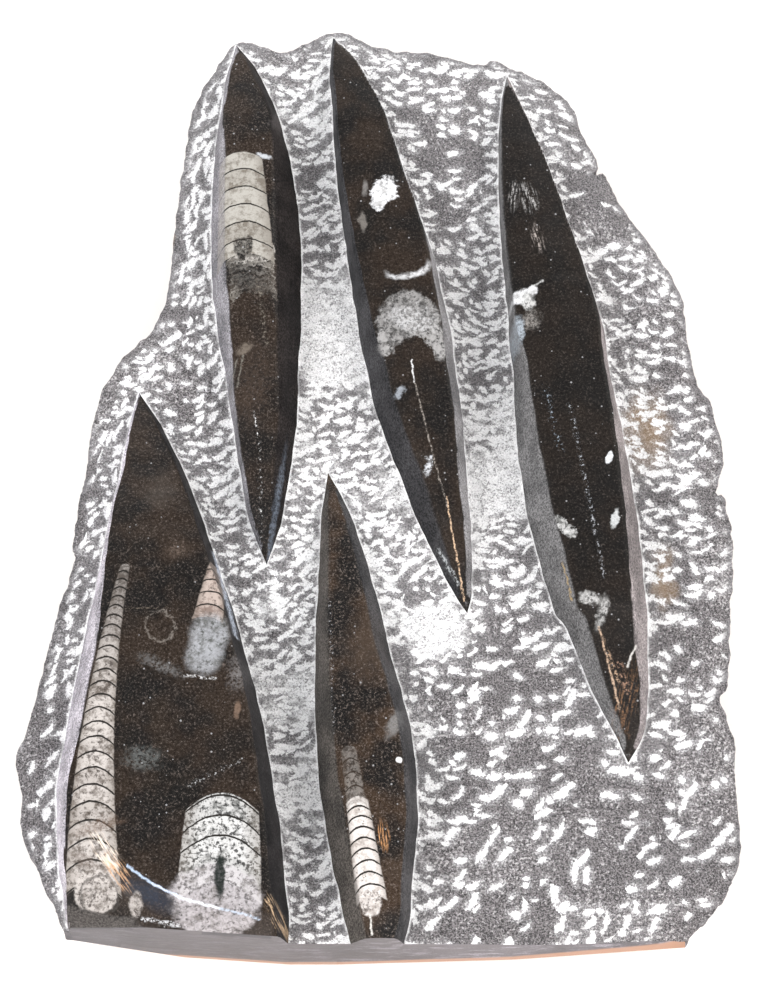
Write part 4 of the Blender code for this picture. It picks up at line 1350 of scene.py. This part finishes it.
def polishedRidge(name, looks, groups):
    material, tree, shader, place = startMaterial(
        "polished_" + name, **{"Specular IOR Level": 0.05, "Coat Roughness": 0.1})
    base = useGroup(tree, groups["polishedLimestone"],
                    {"Place": place, "Brown": looks["brown"], "Left Flank": (*looks["left"], 1.0),
                     "Right Flank": (*looks["right"], 1.0), "Flecks": looks["flecks"],
                     "Grain": looks["grain"]})
    where = {"Place": place, "Wander": wander(tree, place, 0.32, 4.0, 0.7)}
    breaks = noiseField(tree, place, 1.1, 4.0, 0.75)
    onCrown = minus(tree, 1.0, product(tree, base["Flank"], 0.55))
    colour = base["Colour"]
    height = product(tree, base["Height"], 0.05)
    for row in looks.get("shells", []):
        cut = useGroup(tree, groups["chamberedShell"],
                       {**where, "Ragged": row["ragged"], "Tip": (*row["tip"], 0.0),
                        "Mouth": (*row["mouth"], 0.0), "Tip Width": row["wide"][0],
                        "Mouth Width": row["wide"][1], "Bend": row["bend"], "First Gap": row["gap"][0],
                        "Gap Growth": row["gap"][1], "Bow": row["bow"], "Line": row["thick"],
                        "Flare": row["flare"], "Lines End": row["linesEnd"],
                        "Line Offset": row["lineOffset"]})
        filled = shellColour(tree, groups, where, breaks, cut, row)
        colour = blend(tree, product(tree, cut["Inside"], onCrown, row["strength"]), colour, filled)
        height = minus(tree, height, product(tree, cut["Septum"], 0.12))
    for row in looks["patches"]:
        spot = useOval(tree, groups, where, row, Ragged=row["ragged"], Soft=row["soft"])
        filled = patchColour(tree, groups, place, base, row["fill"])
        wear = patchWear(tree, place, breaks, row)
        colour = blend(tree, product(tree, spot["Mask"], onCrown, wear, row["strength"]), colour, filled)
    for row in looks.get("rings", []):
        spot = useOval(tree, groups, where, row, Ragged=1.4)
        wear = ramp(tree, breaks, 0.4, 0.56, 1.0 - row["broken"], 1.0)
        colour = blend(tree, product(tree, spot["Ring"], wear, row["strength"]), colour, row["colour"])
    for row in looks["cracksAndHighlights"]:
        split = useGroup(tree, groups["fineCrackOrHighlight"],
                         {**where, "Breaks": breaks, "From": (*row["start"], 0.0), "To": (*row["end"], 0.0),
                          "Width": row["width"], "Broken": row["broken"], "Sparse": row["sparse"]})
        colour = blend(tree, product(tree, split["Mask"], 0.85), colour, row["colour"])
    roughness = base["Roughness"]
    if "facet" in looks:   # the matt corner on the end of the ridge
        facet = looks["facet"]
        grey = blend(tree, ramp(tree, base["Height"], 0.36, 0.62), facet["dark"], facet["colour"])
        onFacet = product(tree, ramp(tree, facing(tree)[1], *facet["lean"]),
                          ramp(tree, parts(tree, place)[0], *facet["x"]))
        colour = blend(tree, product(tree, onFacet, 0.95), colour, grey)
        roughness = timesPlus(tree, onFacet, 0.3, roughness)
    tree.links.new(product(tree, base["Polish"], 0.24), shader.inputs["Coat Weight"])
    finishMaterial(tree, shader, colour, roughness, height, 0.5, 0.5)
    return material


# the sawn foot, the broken rim and the sawn back
footLook = {
    "grey": (0.125, 0.117, 0.129), "dark": (0.045, 0.042, 0.046), "pale": (0.34, 0.32, 0.355),
    # warm is a painted shadow: the warm contact shadow along the foot's lower edge, painted onto the foot
    "warm": (0.42, 0.235, 0.15),
    "paintedShadowBand": 3.6,       # millimetres above the lower edge
}
rimLook = {"dark": (0.035, 0.033, 0.034), "grey": (0.15, 0.142, 0.148), "pale": (0.42, 0.41, 0.42),
           "rust": (0.25, 0.15, 0.09)}
backLook = {
    "grey": (0.2, 0.197, 0.21), "dark": (0.12, 0.118, 0.125), "pores": (0.06, 0.058, 0.06),
    "marks": (0.32, 0.315, 0.33),
    "blade": (-260.0, -350.0, 0.0),   # the middle of the saw blade, which the marks run round
}


def sawnFoot(groups):
    material, tree, shader, place = startMaterial("sawnFoot")
    grain = useGroup(tree, groups["stoneGrain"], {"Place": place, "Grain": 0.5, "Cloud": 26.0})
    colour = blend(tree, grain["Cloud"], footLook["dark"], footLook["grey"])
    drawn = noiseField(tree, stretched(tree, place, (0.1, 0.5, 0.5)), 1.0, 5.0, 0.7)
    colour = blend(tree, ramp(tree, drawn, 0.49, 0.62, 0.0, 0.75), colour, footLook["pale"])
    colour = blend(tree, ramp(tree, grain["Speckle"], 0.6, 0.1, 0.0, 0.35), colour, footLook["dark"])
    x, _, z = parts(tree, place)
    colour = blend(tree, ramp(tree, x, 50.0, -60.0, 0.0, 0.68), colour, footLook["dark"])
    lowerEdge = larger(tree, product(tree, minus(tree, x, plaque["chipStart"]), plaque["chipRise"]), 0.8)
    aboveEdge = minus(tree, timesPlus(tree, drawn, 1.5, z), lowerEdge)
    # painted shadow: a warm band along the lower edge of the foot
    band = footLook["paintedShadowBand"]
    colour = blend(tree, ramp(tree, aboveEdge, band + 0.6, band - 0.6, 0.0, 0.85), colour, footLook["warm"])
    height = plus(tree, drawn, product(tree, grain["Tooth"], 0.3))
    finishMaterial(tree, shader, colour, slope(tree, drawn, 0.3, 0.7, 0.32, 0.5), height, 0.25, 0.5)
    return material


def brokenRim(groups):
    material, tree, shader, place = startMaterial("brokenRim")
    grain = useGroup(tree, groups["stoneGrain"], {"Place": place, "Grain": 0.7, "Cloud": 14.0})
    colour = blend(tree, grain["Speckle"], rimLook["dark"], rimLook["grey"])
    colour = blend(tree, product(tree, grain["Cloud"], 0.35), colour, rimLook["grey"])
    ragged = pushed(tree, place, wander(tree, place, 0.3), 1.6)
    flakes = addNode(tree, "ShaderNodeTexVoronoi", {"Vector": ragged, "Scale": 0.22},
                     feature="DISTANCE_TO_EDGE").outputs["Distance"]
    flakeEdge = ramp(tree, flakes, 0.05, 0.0)
    chalk = product(tree, flakeEdge, ramp(tree, grain["Tooth"], 0.42, 0.6))
    colour = blend(tree, product(tree, chalk, 0.7), colour, rimLook["pale"])
    rust = ramp(tree, noiseField(tree, place, 0.06, 4.0, 0.7), 0.6, 0.72)
    colour = blend(tree, product(tree, rust, 0.5), colour, rimLook["rust"])
    height = plus(tree, grain["Tooth"], product(tree, flakes, 0.8))
    finishMaterial(tree, shader, colour, slope(tree, grain["Speckle"], 0.0, 1.0, 0.6, 0.85), height, 1.4, 0.8)
    return material


def sawnBack(groups):
    material, tree, shader, place = startMaterial("sawnBack")
    grain = useGroup(tree, groups["stoneGrain"], {"Place": place, "Grain": 0.6, "Cloud": 40.0})
    colour = blend(tree, grain["Cloud"], backLook["dark"], backLook["grey"])
    colour = blend(tree, ramp(tree, grain["Speckle"], 0.55, 0.1, 0.0, 0.5), colour, backLook["pores"])
    radius = distance(tree, flattened(tree, place), backLook["blade"])
    sawMarks = noiseField(tree, joined(tree, {0: radius}), 0.5, 5.0, 0.75)
    colour = blend(tree, ramp(tree, sawMarks, 0.5, 0.7, 0.0, 0.4), colour, backLook["marks"])
    height = timesPlus(tree, grain["Tooth"], 0.3, sawMarks)
    finishMaterial(tree, shader, colour, slope(tree, sawMarks, 0.3, 0.7, 0.45, 0.65), height, 0.3, 0.7)
    return material


# put the stone together
stone = buildStone()
groups = {"hammerMarks": makeHammerMarks(), "stoneGrain": makeStoneGrain(),
          "chamberedShell": makeChamberedShell(), "calciteColour": makeCalciteColour(),
          "calcitePatch": makeCalcitePatch(), "fineCrackOrHighlight": makeFineCrack(),
          "polishedLimestone": makePolishedLimestone()}
print("made the shared effects")
faceMaterial = hammeredStone(groups)
stone.data.materials.append(faceMaterial)
for ridgeName, looks in ridgeLooks.items():
    stone.data.materials.append(polishedRidge(ridgeName, looks, groups))
for makeFinish in (sawnFoot, brokenRim, sawnBack):
    stone.data.materials.append(makeFinish(groups))
hammerFace(stone, faceMaterial)
stone.data.polygons.foreach_set("use_smooth", [True] * len(stone.data.polygons))
stone.data.set_sharp_from_angle(angle=math.radians(38))
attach(stone, "root")
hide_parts("fossil_slab")
print("finished the stone")

# stage, light and camera
stageValues = {
    "elevation": 70.0, "distance": 1.05, "aim": (0.0, -0.008, 0.020),
    "focalPixels": 3440.0, "longSide": 985,   # the lens and the long side of the render, in pixels
    "paper": (0.97, 0.925, 0.89, 1.0),
    "floorHalf": 3.0,      # metres
    "floorGap": 0.2,       # millimetres below the stone
    "sky": (1.04, 1.04, 1.05), "flag": (0.06, 0.062, 0.07), "flagAt": (0.0, 0.34, 0.94),
    # place, size, power, colour
    "lights": {
        "leftBack": ((-1.35, 1.0, 1.05), (0.9, 0.9), 19.0, (0.93, 0.96, 1.0)),
        "leftFront": ((-1.35, -1.0, 1.05), (0.9, 0.9), 23.0, (1.0, 0.96, 0.95)),
        "rightBack": ((1.35, 1.0, 1.05), (0.9, 0.9), 19.0, (1.0, 0.99, 0.97)),
        "rightFront": ((1.35, -1.0, 1.05), (0.9, 0.9), 23.0, (1.0, 0.955, 0.94)),
    },
}


def makeCamera():
    data = bpy.data.cameras.new("plaqueCamera")
    data.sensor_width = 36.0
    data.lens = stageValues["focalPixels"] / stageValues["longSide"] * data.sensor_width
    camera = bpy.data.objects.new("plaqueCamera", data)
    bpy.context.collection.objects.link(camera)
    lift = math.radians(stageValues["elevation"])
    back = Vector((0.0, -math.cos(lift), math.sin(lift)))
    camera.location = Vector(stageValues["aim"]) + back * stageValues["distance"]
    camera.rotation_euler = (math.pi / 2 - lift, 0.0, 0.0)
    bpy.context.scene.camera = camera


def makeLight(name, place, size, power, colour):
    data = bpy.data.lights.new(name, "AREA")
    data.shape = "RECTANGLE"
    data.size, data.size_y = size
    data.energy = power
    data.color = colour
    light = bpy.data.objects.new(name, data)
    light.location = place
    light.rotation_euler = Vector(place).to_track_quat("Z", "Y").to_euler()
    bpy.context.collection.objects.link(light)


def makeFloor():   # plain pale paper
    half = stageValues["floorHalf"]
    corners = [(-half, -half, 0), (half, -half, 0), (half, half, 0), (-half, half, 0)]
    mesh = bpy.data.meshes.new("paleFloor")
    mesh.from_pydata(corners, [], [(0, 1, 2, 3)])
    floor = bpy.data.objects.new("paleFloor", mesh)
    floor.location.z = -stageValues["floorGap"] * mm
    bpy.context.collection.objects.link(floor)
    paper = startMaterial("palePaper", **{"Roughness": 0.9, "Base Color": stageValues["paper"]})
    mesh.materials.append(paper[0])
    floor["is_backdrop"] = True


def makeSky():   # pale all round, with a dark flag in the part that the crowns mirror
    world = bpy.data.worlds.new("studio")
    world.use_nodes = True
    tree = world.node_tree
    way = addNode(tree, "ShaderNodeTexCoord").outputs["Generated"]
    sky = blend(tree, ramp(tree, distance(tree, way, stageValues["flagAt"]), 0.6, 0.28), stageValues["sky"],
                stageValues["flag"])
    tree.links.new(sky, tree.nodes["Background"].inputs["Color"])
    bpy.context.scene.world = world


makeCamera()
makeFloor()
makeSky()
for lightName, lightValues in stageValues["lights"].items():
    makeLight(lightName, *lightValues)
bpy.context.scene.view_settings.view_transform = "Standard"
print("set the stage")

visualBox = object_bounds()
boxes = {"cad": [list(map(float, corner)) for corner in cadBox],
         "visual": [list(map(float, corner)) for corner in visualBox]}
